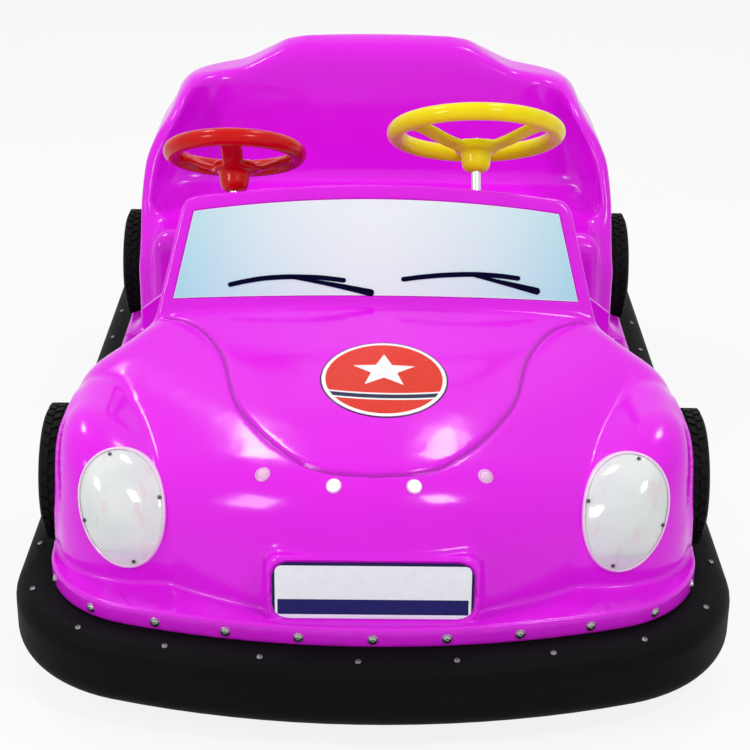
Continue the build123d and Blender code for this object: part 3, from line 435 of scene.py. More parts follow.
def rear_shell(x, y, z):
    """Seat shell with its wings and tail, and the bench moulded into it."""
    x = np.abs(x)
    plan = crowned_plan(x, np.maximum(y, 0), *REAR_PLAN)
    side = (x - curve(z, REAR_SIDE_X)) * 0.92
    tail = (y + x * x / TAIL_BOW - curve(z, TAIL_Y)) * 0.95
    outer = soft_cut(soft_cut(plan, side, 0.03), tail, TAIL_ROLL)
    outer = outer - arch_lip(x, y, z, "rear")
    rim = (z - curve(x, RIM_Z)) * 0.96
    wing = (z - curve(y, WING_Z)) * 0.72
    top = soft_cut(rim, wing, 0.03)
    outer = soft_cut(outer, REAR_FACE_Y - y, 0.02)
    curl = BACK_CURL * np.maximum(z - BACK_CURL_Z, 0) ** 2
    back = (y - (BACK_Y + BACK_LEAN * (z - BACK_Z) + curl - BACK_BOW * x * x)) * 0.97
    well = soft_cut(soft_cut(side + REAR_WALL, back, 0.10), WELL_FLOOR_Z - z, WELL_CORNER)
    shell = soft_cut(soft_cut(outer, -well, 0.012), top, RIM_ROLL)
    bench = soft_cut(x - BENCH_HALF, BENCH_FRONT_Y - y, 0.02)
    bench = soft_cut(bench, z - BENCH_TOP_Z, BENCH_ROLL)
    bench = soft_cut(bench, np.maximum(SHELL_FOOT_Z - z, y - BENCH_BACK_Y), 0.002)
    shell = soft_cut(soft_union(shell, bench, 0.020), SHELL_FOOT_Z - z, 0.003)
    room = np.maximum(REAR_FACE_Y - y, np.maximum(y - ROOM_BACK_Y, z - ROOM_TOP_Z))
    room = np.maximum(x - BENCH_HALF + ROOM_WALL, room)
    shell = soft_union(np.maximum(shell, -room), skirt(x, y, z), 0.030)
    shell = soft_cut(shell, -np.maximum(room, 0.10 - z), 0.003)
    shell = soft_cut(shell, -wheel_pocket(x, y, z, "rear"), POCKET_EDGE)
    return soft_cut(shell, REAR_SEAM_Y - y, SEAM_EDGE)


def sill(x, y, z):
    """Ledges between the front and rear bodies."""
    x = np.abs(x)
    middle = (FRONT_SEAM_Y + REAR_SEAM_Y) / 2
    half = (REAR_SEAM_Y - FRONT_SEAM_Y) / 2 - 0.0005
    return soft_cut(skirt(x, y, z), np.abs(y - middle) - half, SEAM_EDGE)


# Meshing

CUBE = np.array([(i, j, k) for i in (0, 1) for j in (0, 1) for k in (0, 1)])
CUBE_EDGES = [(a, b) for a in CUBE for b in CUBE if (b - a).sum() == 1 and (b - a).min() == 0]


def surface_net(form, low, high, step):
    """Points and quads on a form's zero surface, the same on both sides of x = 0."""
    axes = [np.arange(0.5, high[0] / step + 1) * step]
    axes += [np.arange(low[i], high[i] + step, step) for i in (1, 2)]
    half = form(*np.meshgrid(*axes, indexing="ij"))
    field = np.concatenate((half[::-1], half))
    origin = np.array((-axes[0][-1], low[1], low[2]))
    inside = field < 0
    size = np.array(field.shape) - 1
    filled = sum(
        inside[i : size[0] + i, j : size[1] + j, k : size[2] + k].astype(np.int8) for i, j, k in CUBE
    )
    mixed = (filled > 0) & (filled < 8)
    cells = np.argwhere(mixed)
    number = np.full(mixed.shape, -1)
    number[mixed] = np.arange(len(cells))
    total = np.zeros((len(cells), 3))
    hits = np.zeros(len(cells))
    for a, b in CUBE_EDGES:
        start = field[tuple((cells + a).T)]
        end = field[tuple((cells + b).T)]
        crossing = (start < 0) != (end < 0)
        share = np.where(crossing, start / np.where(crossing, start - end, 1), 0)
        total += crossing[:, None] * (a + share[:, None] * (b - a))
        hits += crossing
    points = origin + (cells + total / hits[:, None]) * step
    quads = []
    for axis in range(3):
        one = np.eye(3, dtype=int)[axis]
        u, v = np.eye(3, dtype=int)[(axis + 1) % 3], np.eye(3, dtype=int)[(axis + 2) % 3]
        lower = inside[tuple(slice(0, n - o) for n, o in zip(inside.shape, one))]
        upper = inside[tuple(slice(o, n) for n, o in zip(inside.shape, one))]
        edge = np.argwhere(lower != upper)
        edge = edge[np.all((edge - u - v >= 0) & (edge < size), axis=1)]
        loop = [number[tuple((edge - a * u - b * v).T)] for a, b in ((0, 0), (1, 0), (1, 1), (0, 1))]
        loop = np.stack(loop, 1)
        outward = lower[tuple(edge.T)]
        quads.append(np.where(outward[:, None], loop, loop[:, ::-1]))
    return points, np.concatenate(quads)


FLATTEST = 0.05
NEAR_REACH = 0.002


def gradient(form, points, reach=0.0006):
    """Slope of a form at each point, by differences."""
    slopes = []
    for axis in range(3):
        shift = np.zeros(3)
        shift[axis] = reach
        slopes.append((form(*(points + shift).T) - form(*(points - shift).T)) / (2 * reach))
    return np.stack(slopes, 1)


def settle(form, points, step, rounds=3):
    """Moves points onto a form's zero surface, each by no more than the step."""
    for _ in range(rounds):
        slope = gradient(form, points)
        length = np.maximum((slope**2).sum(1), FLATTEST)
        move = slope * (form(*points.T) / length)[:, None]
        far = np.linalg.norm(move, axis=1, keepdims=True)
        points = points - move * np.minimum(1, step / np.maximum(far, 1e-9))
    return points


def mesh_coordinates(mesh):
    """Places of a mesh's corners, one row each."""
    flat = np.empty(len(mesh.vertices) * 3)
    mesh.vertices.foreach_get("co", flat)
    return flat.reshape(-1, 3)


def refine(mesh, form, core, near, step, bends=(18, 32, 180)):
    """Splits the faces turned away from the core where they bend, and all that are near a feature."""
    work = bmesh.new()
    work.from_mesh(mesh)
    for bend in bends:
        for table in (work.verts, work.edges, work.faces):
            table.ensure_lookup_table()
            table.index_update()
        points = np.array([corner.co for corner in work.verts])
        ends = np.array([[corner.index for corner in edge.verts] for edge in work.edges])
        facing = gradient(form, points)
        facing /= np.maximum(np.linalg.norm(facing, axis=1, keepdims=True), 1e-9)
        turned = (facing[ends[:, 0]] * facing[ends[:, 1]]).sum(1) < math.cos(math.radians(bend))
        middle = points[ends].mean(1)
        outside = ((middle - core) * facing[ends].sum(1)).sum(1) > 0
        marked = (turned & outside) | near(*middle.T, NEAR_REACH + 0.5 * step)
        faces = {face for i in np.flatnonzero(marked) for face in work.edges[i].link_faces}
        chosen = list({edge for face in faces for edge in face.edges})
        bmesh.ops.subdivide_edges(work, edges=chosen, cuts=1, use_grid_fill=True)
        step = step / 2
        settled = settle(form, np.array([corner.co for corner in work.verts]), step, 2)
        for corner, place in zip(work.verts, settled.tolist()):
            corner.co = place
    work.to_mesh(mesh)
    work.free()


def thin_inside(mesh, form, core, share=0.85):
    """Collapses most of the faces on the hidden side of a shell, which turns to its core."""
    points = mesh_coordinates(mesh)
    inside = ((points - core) * gradient(form, points)).sum(1) < 0
    holder = bpy.data.objects.new(mesh.name, mesh)
    bpy.context.collection.objects.link(holder)
    holder.vertex_groups.new(name="inside").add(np.flatnonzero(inside).tolist(), 1.0, "REPLACE")
    thin = holder.modifiers.new("thin", "DECIMATE")
    thin.ratio = 1 - share * inside.mean()
    thin.vertex_group = "inside"
    result = bpy.data.meshes.new_from_object(holder.evaluated_get(bpy.context.evaluated_depsgraph_get()))
    bpy.data.objects.remove(holder)
    return result


def finished_mesh(name, work):
    """Mesh from a bmesh, with its faces turned outward."""
    bmesh.ops.recalc_face_normals(work, faces=work.faces)
    mesh = bpy.data.meshes.new(name)
    work.to_mesh(mesh)
    work.free()
    return mesh


def note_share(mesh, name, shares):
    """Keeps a number from 0 to 1 at each corner, for the finish to read."""
    mesh.attributes.new(name, "FLOAT", "POINT").data.foreach_set("value", shares)


def dress(name, mesh, finish, body, crease=None):
    """Puts a mesh into the scene with its finish, shading and body."""
    mesh.materials.clear()
    mesh.materials.append(finish)
    mesh.polygons.foreach_set("use_smooth", [True] * len(mesh.polygons))
    if crease:
        mesh.set_sharp_from_angle(angle=math.radians(crease))
    mesh.update()
    piece = bpy.data.objects.new(name, mesh)
    bpy.context.collection.objects.link(piece)
    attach(piece, body)
    return piece


def mesh_form(name, form, low, high, step, finish, body, core=None, near=None, crease=50):
    """A piece from a form: a net of quads, settled on it and split near its details."""
    points, quads = surface_net(form, low, high, step)
    points = settle(form, points, step)
    mesh = bpy.data.meshes.new(name)
    mesh.from_pydata(points.tolist(), [], quads.tolist())
    if core is not None:
        refine(mesh, form, np.array(core), near, step)
        mesh = thin_inside(mesh, form, np.array(core))
    return dress(name, mesh, finish, body, crease)


def repeat_tree(name):
    """Node tree that sets a stamp on every point, faced along its attributes and turned by chance."""
    tree = bpy.data.node_groups.new(name, "GeometryNodeTree")
    sockets = {}
    for label, direction, kind in (
        ("Geometry", "INPUT", "NodeSocketGeometry"),
        ("Stamp", "INPUT", "NodeSocketObject"),
        ("Stamp Size", "INPUT", "NodeSocketFloat"),
        ("Chance Turn", "INPUT", "NodeSocketFloat"),
        ("Finish", "INPUT", "NodeSocketMaterial"),
        ("Geometry", "OUTPUT", "NodeSocketGeometry"),
    ):
        sockets[label, direction] = tree.interface.new_socket(label, in_out=direction, socket_type=kind)

    def node(kind, settings=(), links=()):
        made = tree.nodes.new(kind)
        for key, value in dict(settings).items():
            setattr(made, key, value)
        for key, value in dict(links).items():
            if isinstance(value, bpy.types.NodeSocket):
                tree.links.new(value, made.inputs[key])
            else:
                made.inputs[key].default_value = value
        return made

    given = node("NodeGroupInput").outputs
    facing = node("GeometryNodeInputNamedAttribute", {"data_type": "FLOAT_VECTOR"}, {"Name": "facing"})
    along = node("GeometryNodeInputNamedAttribute", {"data_type": "FLOAT_VECTOR"}, {"Name": "along"})
    aimed = node(
        "FunctionNodeAxesToRotation",
        {"primary_axis": "Z", "secondary_axis": "X"},
        {"Primary Axis": facing.outputs["Attribute"], "Secondary Axis": along.outputs["Attribute"]},
    )
    lowest = node("ShaderNodeMath", {"operation": "MULTIPLY"}, {0: given["Chance Turn"], 1: -1.0})
    turn = node(
        "FunctionNodeRandomValue",
        {"data_type": "FLOAT"},
        {2: lowest.outputs[0], 3: given["Chance Turn"], "Seed": 7},
    )
    spin = node("FunctionNodeAxisAngleToRotation", (), {"Axis": (0, 0, 1), "Angle": turn.outputs[1]})
    turned = node(
        "FunctionNodeRotateRotation",
        {"rotation_space": "LOCAL"},
        {"Rotation": aimed.outputs["Rotation"], "Rotate By": spin.outputs["Rotation"]},
    )
    stamp = node("GeometryNodeObjectInfo", (), {"Object": given["Stamp"]})
    placing = {
        "Points": given["Geometry"],
        "Instance": stamp.outputs["Geometry"],
        "Rotation": turned.outputs["Rotation"],
        "Scale": given["Stamp Size"],
    }
    placed = node("GeometryNodeInstanceOnPoints", (), placing)
    real = node("GeometryNodeRealizeInstances", (), {"Geometry": placed.outputs["Instances"]})
    coated = node(
        "GeometryNodeSetMaterial", (), {"Geometry": real.outputs["Geometry"], "Material": given["Finish"]}
    )
    node("NodeGroupOutput", (), {"Geometry": coated.outputs["Geometry"]})
    keys = {
        label: socket.identifier
        for (label, direction), socket in sockets.items()
        if direction == "INPUT"
    }
    return tree, keys


def repeat(name, stamp_mesh, places, size, chance, finish, body, crease=35):
    """One mesh of a stamp repeated at places, each (point, facing, along)."""
    carrier = bpy.data.meshes.new(name + "_places")
    carrier.from_pydata([tuple(p[0]) for p in places], [], [])
    for index, label in ((1, "facing"), (2, "along")):
        layer = carrier.attributes.new(label, "FLOAT_VECTOR", "POINT")
        layer.data.foreach_set("vector", np.array([tuple(p[index]) for p in places], float).ravel())
    base = bpy.data.objects.new(name + "_base", carrier)
    stamp = bpy.data.objects.new(name + "_stamp", stamp_mesh)
    for helper in (base, stamp):
        bpy.context.collection.objects.link(helper)
    tree, keys = repeat_tree(name + "_tree")
    modifier = base.modifiers.new("repeat", "NODES")
    modifier.node_group = tree
    modifier[keys["Stamp"]] = stamp
    modifier[keys["Stamp Size"]] = size
    modifier[keys["Chance Turn"]] = chance
    modifier[keys["Finish"]] = finish
    graph = bpy.context.evaluated_depsgraph_get()
    graph.update()
    mesh = bpy.data.meshes.new_from_object(base.evaluated_get(graph))
    if not mesh.polygons:
        raise RuntimeError(f"{name}: the repeat made no faces")
    base.modifiers.clear()
    for helper in (base, stamp):
        bpy.data.objects.remove(helper)
    mesh.name = name
    return dress(name, mesh, finish, body, crease)


def turned_stamp(profile, sides, name):
    """A small turned form from (radius, height) pairs, closed where its radius is 0 and open elsewhere."""
    work = bmesh.new()
    rings = []
    for radius, height in profile:
        if radius == 0:
            rings.append([work.verts.new((0, 0, height))])
            continue
        turns = [2 * math.pi * i / sides for i in range(sides)]
        rings.append([work.verts.new((radius * math.cos(a), radius * math.sin(a), height)) for a in turns])
    for lower, upper in zip(rings[:-1], rings[1:]):
        for i in range(sides):
            j = (i + 1) % sides
            if len(lower) == 1:
                work.faces.new((lower[0], upper[j], upper[i]))
            elif len(upper) == 1:
                work.faces.new((lower[i], lower[j], upper[0]))
            else:
                work.faces.new((lower[i], lower[j], upper[j], upper[i]))
    return finished_mesh(name, work)


# Finishes


class Signal:
    """A number in a shader tree: an expression on signals adds its Math nodes."""

    def __init__(self, tree, socket):
        self.tree = tree
        self.socket = socket

    def math(self, operation, *others):
        node = self.tree.nodes.new("ShaderNodeMath")
        node.operation = operation
        for entry, value in zip(node.inputs, (self, *others)):
            if isinstance(value, Signal):
                self.tree.links.new(value.socket, entry)
            else:
                entry.default_value = value
        return Signal(self.tree, node.outputs[0])

    def __add__(self, other):
        return self.math("ADD", other)

    def __sub__(self, other):
        return self.math("SUBTRACT", other)

    def __mul__(self, other):
        return self.math("MULTIPLY", other)

    def __truediv__(self, other):
        return self.math("DIVIDE", other)

    def __neg__(self):
        return self.math("MULTIPLY", -1.0)

    def __radd__(self, other):
        return self + other

    def __rsub__(self, other):
        return -self + other

    def __rmul__(self, other):
        return self * other

    def __rtruediv__(self, other):
        return self.math("POWER", -1.0) * other

    def __pow__(self, other):
        return self.math("POWER", other)

    def __abs__(self):
        return self.math("ABSOLUTE")

    def below(self, other):
        return self.math("LESS_THAN", other)

    def above(self, other):
        return self.math("GREATER_THAN", other)

    def least(self, other):
        return self.math("MINIMUM", other)

    def most(self, other):
        return self.math("MAXIMUM", other)

    def held(self):
        """The same number, kept between 0 and 1."""
        return self.most(0.0).least(1.0)


class Finish:
    """A material being made. Every node that isn't maths comes from its node method."""

    def __init__(self, name):
        self.material = bpy.data.materials.new(name)
        self.material.use_nodes = True
        self.tree = self.material.node_tree
        self.tree.nodes.clear()
        self.place = self.node("ShaderNodeTexCoord", output="Object")
        self.x, self.y, self.z = (
            self.node("ShaderNodeSeparateXYZ", inputs={"Vector": self.place}, output=axis) for axis in "XYZ"
        )

    def node(self, kind, settings=(), inputs=(), output=0):
        """Adds a node: its settings first, then the values or links of its sockets."""
        made = self.tree.nodes.new(kind)
        for key, value in dict(settings).items():
            setattr(made, key, value)
        entries = {entry.identifier: entry for entry in made.inputs}
        for key, value in dict(inputs).items():
            if isinstance(value, Signal):
                self.tree.links.new(value.socket, entries[key])
            else:
                entries[key].default_value = value
        if not made.outputs:
            return made
        exits = {entry.identifier: entry for entry in made.outputs}
        return Signal(self.tree, exits[output] if output in exits else made.outputs[output])

    def noise(self, scale, detail=3.0, roughness=0.5, stretch=(1, 1, 1), distortion=0.0):
        """Cloudy noise from 0 to 1, stretched along the axes."""
        vector = self.node(
            "ShaderNodeVectorMath",
            {"operation": "MULTIPLY"},
            {"Vector": self.place, "Vector_001": stretch},
        )
        grain = {"Scale": scale, "Detail": detail, "Roughness": roughness, "Distortion": distortion}
        return self.node("ShaderNodeTexNoise", (), {"Vector": vector, **grain})

    def mix(self, share, first, second):
        """Colour from first to second as share goes from 0 to 1."""
        return self.node(
            "ShaderNodeMix",
            {"data_type": "RGBA"},
            {"Factor_Float": share, "A_Color": first, "B_Color": second},
            "Result_Color",
        )

    def painted(self, name):
        """The number that a piece's mesh keeps under a name."""
        return self.node("ShaderNodeAttribute", {"attribute_name": name}, output="Fac")

    def bump(self, height, distance, under=None):
        """Normal pushed by a height from 0 to 1 that stands for distance metres."""
        links = {"Height": height, "Distance": distance, "Strength": 1.0}
        if under is not None:
            links["Normal"] = under
        return self.node("ShaderNodeBump", (), links)

    def surface(self, **values):
        """Closes the material with a Principled surface; values name its sockets."""
        named = {key.replace("_", " "): value for key, value in values.items()}
        body = self.node("ShaderNodeBsdfPrincipled", (), named, "BSDF")
        self.node("ShaderNodeOutputMaterial", (), {"Surface": body})
        return self.material


def rgba(colour):
    """A colour with full cover."""
    return (*colour[:3], 1.0)


def shade(colour, factor):
    """A colour made lighter or darker by a factor."""
    return tuple(min(1.0, part * factor) for part in colour[:3]) + (1.0,)


SHELL_LOW_TONE = (0.36, 0.09, 0.35, 1)
BARE_STEEL = (0.23, 0.22, 0.21, 1)
PRINT_WHITE = (0.90, 0.90, 0.92, 1)
EDGE_WHITE = (0.92, 0.92, 0.94, 1)
ROUNDEL_NAVY = (0.012, 0.016, 0.06, 1)
ROUNDEL_EDGE = (0.05, 0.01, 0.08, 1)
TYRE_BLACK = (0.003, 0.003, 0.0035, 1)
TYRE_DUST = (0.011, 0.0105, 0.010, 1)
TYRE_RING = (0.03, 0.03, 0.03, 1)


def gloss_shell(name, colour):
    """Moulded gloss shell: slow waves under the gloss, fine scuffs, darker and rougher patches low down, and
    painted shade along the hood's groove.
    """
    finish = Finish(name)
    cloud = finish.noise(2.6, 2.0)
    tone = finish.mix(cloud, shade(colour, 0.93), shade(colour, 1.06))
    # Darker, rougher patches towards the bottom of the shell
    low = ((0.26 - finish.z) / 0.10).held() * finish.noise(14.0, 4.0)
    tone = finish.mix(low * 0.22, tone, SHELL_LOW_TONE)
    # Painted shade: the shell darkens along the hood's groove, where shade falls in it
    tone = finish.mix(finish.painted("groove") * 0.6, tone, shade(colour, 0.30))
    scuff = (finish.noise(9.0, 6.0, 0.7, (1, 5, 2)).above(0.66)) * finish.noise(160.0, 2.0)
    rough = 0.13 + 0.10 * finish.noise(20.0, 4.0) + 0.16 * scuff + 0.10 * low
    wave = finish.noise(17.0, 1.0)
    peel = finish.bump(finish.noise(240.0, 2.0), 0.00006, finish.bump(wave, 0.0009))
    return finish.surface(
        Base_Color=tone, Roughness=rough, Coat_Weight=0.12, Coat_Roughness=0.04, Specular_IOR_Level=0.22,
        Normal=peel,
    )


def rubber(name, colour, grain=90.0):
    """Black rubber with a dry bloom, scrapes along its length and a fine grain."""
    finish = Finish(name)
    bloom = finish.noise(6.0, 5.0, 0.65)
    scrape = finish.noise(26.0, 3.0, 0.6, (0.3, 0.3, 6.0)).above(0.63)
    tone = finish.mix(bloom * 0.6, rgba(colour), shade(colour, 2.2))
    tone = finish.mix(scrape * 0.3, tone, shade(colour, 3.5))
    rough = 0.48 + 0.24 * bloom + 0.10 * scrape
    skin = finish.bump(finish.noise(grain, 5.0, 0.7), 0.0005)
    return finish.surface(Base_Color=tone, Roughness=rough, Specular_IOR_Level=0.05, Normal=skin)


def metal(name, colour, roughness, brushed=(1, 1, 1), plate=0.0):
    """Bare metal with a brushed or turned grain; plate adds a chequer of raised bars."""
    finish = Finish(name)
    grain = finish.noise(180.0, 3.0, 0.6, brushed)
    stain = finish.noise(9.0, 4.0)
    tone = finish.mix(stain, shade(colour, 0.8), rgba(colour))
    rough = roughness + 0.12 * grain + 0.10 * stain
    height = grain * 0.3
    if plate:
        pitch = 2 * math.pi / plate
        bar = ((finish.x + finish.y) * pitch).math("SINE") * ((finish.x - finish.y) * pitch).math("SINE")
        height = height + abs(bar).above(0.72) * 0.7
    relief = finish.bump(height, 0.0006 if plate else 0.0001)
    return finish.surface(Base_Color=tone, Roughness=rough, Metallic=1.0, Normal=relief)


def paint(name, colour, roughness=0.4):
    """Satin paint over steel, thin where it is rubbed, dusty on top."""
    finish = Finish(name)
    dust = finish.noise(12.0, 5.0, 0.6)
    rubbed = finish.noise(40.0, 6.0, 0.7).above(0.69)
    tone = finish.mix(dust * 0.5, rgba(colour), shade(colour, 1.9))
    tone = finish.mix(rubbed * 0.5, tone, BARE_STEEL)
    return finish.surface(
        Base_Color=tone,
        Roughness=roughness + 0.2 * dust,
        Metallic=0.35 * rubbed,
        Normal=finish.bump(finish.noise(150.0, 3.0), 0.0002),
    )


def moulded(name, colour, roughness=0.16, coat=0.5, grain=0.00005, shine=0.15):
    """Moulded plastic with a faint flow pattern and rubbed patches."""
    finish = Finish(name)
    flow = finish.noise(24.0, 3.0, 0.5, (1, 1, 2))
    rubbed = finish.noise(60.0, 5.0, 0.7).above(0.64)
    tone = finish.mix(flow, shade(colour, 0.9), shade(colour, 1.05))
    rough = roughness + 0.10 * flow + 0.12 * rubbed
    return finish.surface(
        Base_Color=tone, Roughness=rough, Coat_Weight=coat, Coat_Roughness=0.08, Specular_IOR_Level=shine,
        Normal=finish.bump(finish.noise(320.0, 2.0), grain),
    )


# Sizes and colours that a user would change


def size_property(name, description, default):
    return bpy.props.FloatProperty(
        name=name, description=description, default=default, min=0.0, unit="LENGTH", precision=4
    )


def colour_property(name, description, default):
    return bpy.props.FloatVectorProperty(
        name=name, description=description, default=default, size=3, min=0.0, max=1.0, subtype="COLOR"
    )


class ShellSettings(bpy.types.PropertyGroup):
    """Moulded body shell"""

    net_step: size_property("Net Step", "Spacing of the net that the shells are meshed on", 0.0090)
    body_colour: colour_property("Body Colour", "Colour of the gloss shell", (0.78, 0.008, 0.82))


class ScreenSettings(bpy.types.PropertyGroup):
    """Printed windscreen panel"""

    edge_colour: colour_property("Edge Colour", "Print colour at the sides of the panel", (0.34, 0.74, 0.82))
    print_colour: colour_property(
        "Print Colour", "Colour of the wipers and of the plate's band", (0.004, 0.003, 0.075)
    )
    wiper_width: size_property("Wiper Width", "Width of a wiper blade at its middle", 0.0084)


class LampSettings(bpy.types.PropertyGroup):
    """Headlamps and nose lamps"""

    dome_width: size_property("Headlamp Width", "Width of a headlamp over its rim", 0.140)
    dome_height: size_property("Headlamp Height", "Height of a headlamp over its rim", 0.196)
    dome_rise: size_property("Headlamp Rise", "How far a headlamp's dome stands out", 0.012)
    nose_radius: size_property("Nose Lamp Radius", "Radius of a nose lamp's lens", 0.0125)
    glow: bpy.props.FloatProperty(
        name="Glow", description="Strength of the two lit nose lamps", default=2.4, min=0.0
    )


class TrimSettings(bpy.types.PropertyGroup):
    """Number plate, hood roundel, bolts and screws"""

    bolt_pitch: size_property("Bolt Pitch", "Distance between bolts along the skirt", 0.1155)
    bolt_radius: size_property("Bolt Radius", "Radius of a skirt bolt's head", 0.0085)
    screw_pitch: size_property("Screw Pitch", "Distance between screws along the rubber ring", 0.152)
    screw_radius: size_property("Screw Radius", "Radius of a ring screw's head", 0.005)
    roundel_colour: colour_property("Roundel Colour", "Colour of the hood's roundel", (0.70, 0.03, 0.010))


class WheelSettings(bpy.types.PropertyGroup):
    """Dummy wheels, running wheels and steering wheels"""

    tread_blocks: bpy.props.IntProperty(
        name="Tread Blocks", description="Blocks in one row of a dummy tyre", default=34, min=6
    )
    tread_depth: size_property("Tread Depth", "Height of a tread block", 0.003)
    main_colour: colour_property("Main Wheel Colour", "Driver's steering wheel", (0.94, 0.78, 0.002))
    child_colour: colour_property("Child Wheel Colour", "Child's steering wheel", (0.62, 0.002, 0.001))


class StageSettings(bpy.types.PropertyGroup):
    """Floor, lamps and camera"""

    floor_colour: colour_property("Floor Colour", "Colour of the studio floor", (0.93, 0.93, 0.93))
    camera_height: size_property("Camera Height", "Height of the camera above the floor", 1.688)
    camera_distance: size_property("Camera Distance", "Camera's distance ahead of the car's middle", 3.308)
    camera_dip: bpy.props.FloatProperty(
        name="Camera Dip", description="Angle that the camera looks down", default=math.radians(24),
        subtype="ANGLE",
    )


# Shell


LINE_ALONE = 0.004


def near_details(x, y, z, reach):
    """Where the front shell needs a finer net; the last and finest round takes the shield line alone."""
    x = np.abs(x)
    groove = (z > GROOVE_LOW_Z) & (y < -0.33) & (shield_line(x, y) < reach)
    if reach < LINE_ALONE:
        return groove
    plate = (np.abs(plate_field(x, z, 0.003)) < reach) & (y < -0.82)
    up, deep = screen_coordinates(y, z)
    recess = (np.abs(pane_field(x, up)) < reach) & (deep < 0.010) & (z > 0.49)
    return groove | plate | recess


def near_nothing(x, *_):
    """The rear shell has no feature that needs a finer net."""
    return np.zeros(len(x), bool)


class BUMPERCAR_OT_shell(bpy.types.Operator):
    """Builds the moulded shell: front body, rear body with its bench, and the sills"""

    bl_idname = "bumper_car.shell"
    bl_label = "Body Shell"

    def execute(self, context):
        settings = context.scene.bumper_shell
        gloss = gloss_shell("gloss_pink_shell", settings.body_colour)
        step = settings.net_step
        front = mesh_form(
            "front_shell", front_shell, (0, -0.95, 0.155), (0.56, -0.195, 0.72), step,
            gloss, "car", (0, -0.45, 0.30), near_details,
        )
        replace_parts(front, "front_body", "windscreen_frame")
        # Share of painted shade along the hood's groove, kept on the mesh for the finish to darken it
        x, y, z = mesh_coordinates(front.data).T
        groove_shade = np.exp(-((shield_line(np.abs(x), y) / GROOVE_SHADE_WIDTH) ** 2))
        note_share(front.data, "groove", np.where(z > GROOVE_LOW_Z, groove_shade, 0))
        rear = mesh_form(
            "rear_shell", rear_shell, (0, 0.225, 0.155), (0.56, 0.95, 0.76), step, gloss, "car",
            (0, 0.70, 0.20), near_nothing,
        )
        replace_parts(rear, "rear_body", "seat_bench")
        ledge = mesh_form(
            "sill_ledges", sill, (0, -0.215, 0.155), (0.56, 0.245, 0.21), step / 2, gloss, "car"
        )
        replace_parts(ledge, "base_skirt")
        coat_nodes(
            gloss, "dashboard", "front_body", "windscreen_frame", "rear_body", "seat_bench", "base_skirt"
        )
        return {"FINISHED"}


def coat_nodes(finish, *names):
    """Gives CAD nodes a finish through their objects' material slots."""
    for name in names:
        node = NODES[name]
        if not node.material_slots:
            raise RuntimeError(f"{name} has no material slot")
        for entry in node.material_slots:
            entry.material = finish


# Windscreen panel and wipers

# Each wiper: its blade and its arm as (x, height up the screen) points
WIPERS = (
    (
        "left",
        (
            (-0.263, 0.0325), (-0.234, 0.0392), (-0.193, 0.0458), (-0.150, 0.0482), (-0.108, 0.0476),
            (-0.053, 0.0424),
        ),
        ((-0.152, 0.0468), (-0.091, 0.0374), (-0.003, 0.0200)),
    ),
    (
        "right",
        (
            (0.045, 0.0450), (0.083, 0.0500), (0.125, 0.0537), (0.170, 0.0553), (0.212, 0.0535),
            (0.257, 0.0484),
        ),
        ((0.166, 0.0545), (0.222, 0.0420), (0.292, 0.0250)),
    ),
)
WIPER_RISE = 0.0012
WIPER_STEPS = 41
PANE_GAP = 0.0012
PANE_THICKNESS = 0.0042
PANE_FACE = 0.002


def screen_point(x, up, rise):
    """Point on the windscreen panel: x, height up the screen and rise out of its face."""
    out = rise - PANE_FACE
    return (
        x,
        SCREEN_FOOT[0] + up * math.sin(SCREEN_LEAN) - out * math.cos(SCREEN_LEAN),
        SCREEN_FOOT[1] + up * math.cos(SCREEN_LEAN) + out * math.sin(SCREEN_LEAN),
    )


def pane_sheet():
    """Points, faces and border share of the printed panel, a gap inside its recess."""
    across = np.concatenate(([-1], np.linspace(-0.996, 0.996, 61), [1]))
    above = np.concatenate(([0], np.linspace(0.011, 0.989, 15), [1]))
    u, v = (part.ravel() for part in np.meshgrid(across, above))
    x = u * 0.34
    for _ in range(6):
        foot, top = arched(PANE_FOOT, x) + PANE_GAP, arched(PANE_TOP, x) - PANE_GAP
        up = foot + v * (top - foot)
        x = u * (screen_half(up) - PANE_INSET - PANE_GAP)
    rim = ((np.abs(u) == 1) | (v == 0) | (v == 1)).astype(float)
    points = [screen_point(a, b, rise) for rise in (0.0, -PANE_THICKNESS) for a, b in zip(x, up)]
    wide, tall, count = len(across), len(above), len(x)
    faces = []
    for j in range(tall - 1):
        for i in range(wide - 1):
            a = j * wide + i
            faces.append((a, a + 1, a + wide + 1, a + wide))
            faces.append((a + count, a + wide + count, a + wide + 1 + count, a + 1 + count))
    edge = list(range(wide)) + [j * wide + wide - 1 for j in range(1, tall)]
    edge += [(tall - 1) * wide + i for i in range(wide - 2, -1, -1)]
    edge += [j * wide for j in range(tall - 2, 0, -1)]
    for a, b in zip(edge, edge[1:] + edge[:1]):
        faces.append((b, a, a + count, b + count))
    return points, faces, np.concatenate((rim, rim))


def tapered_strip(route, widths, count):
    """Outline of a strip along a smooth route, its width running through the widths."""
    steps = np.linalg.norm(np.diff(route, axis=0), axis=1)
    knots = np.concatenate(([0], np.cumsum(steps)))
    at = (1 - np.cos(np.linspace(0, math.pi, count))) / 2 * knots[-1]
    middle = np.stack([curve(at, list(zip(knots, [p[i] for p in route]))) for i in (0, 1)], 1)
    run = np.gradient(middle, axis=0)
    side = np.stack([-run[:, 1], run[:, 0]], 1) / np.linalg.norm(run, axis=1, keepdims=True)
    half = curve(at, list(zip(np.linspace(0, knots[-1], len(widths)), widths))) / 2
    from_end = np.minimum(at, knots[-1] - at) / half
    half = half * np.sqrt(np.maximum(1 - np.maximum(1 - from_end, 0) ** 2, 0.0004))
    return middle + side * half[:, None], middle - side * half[:, None]


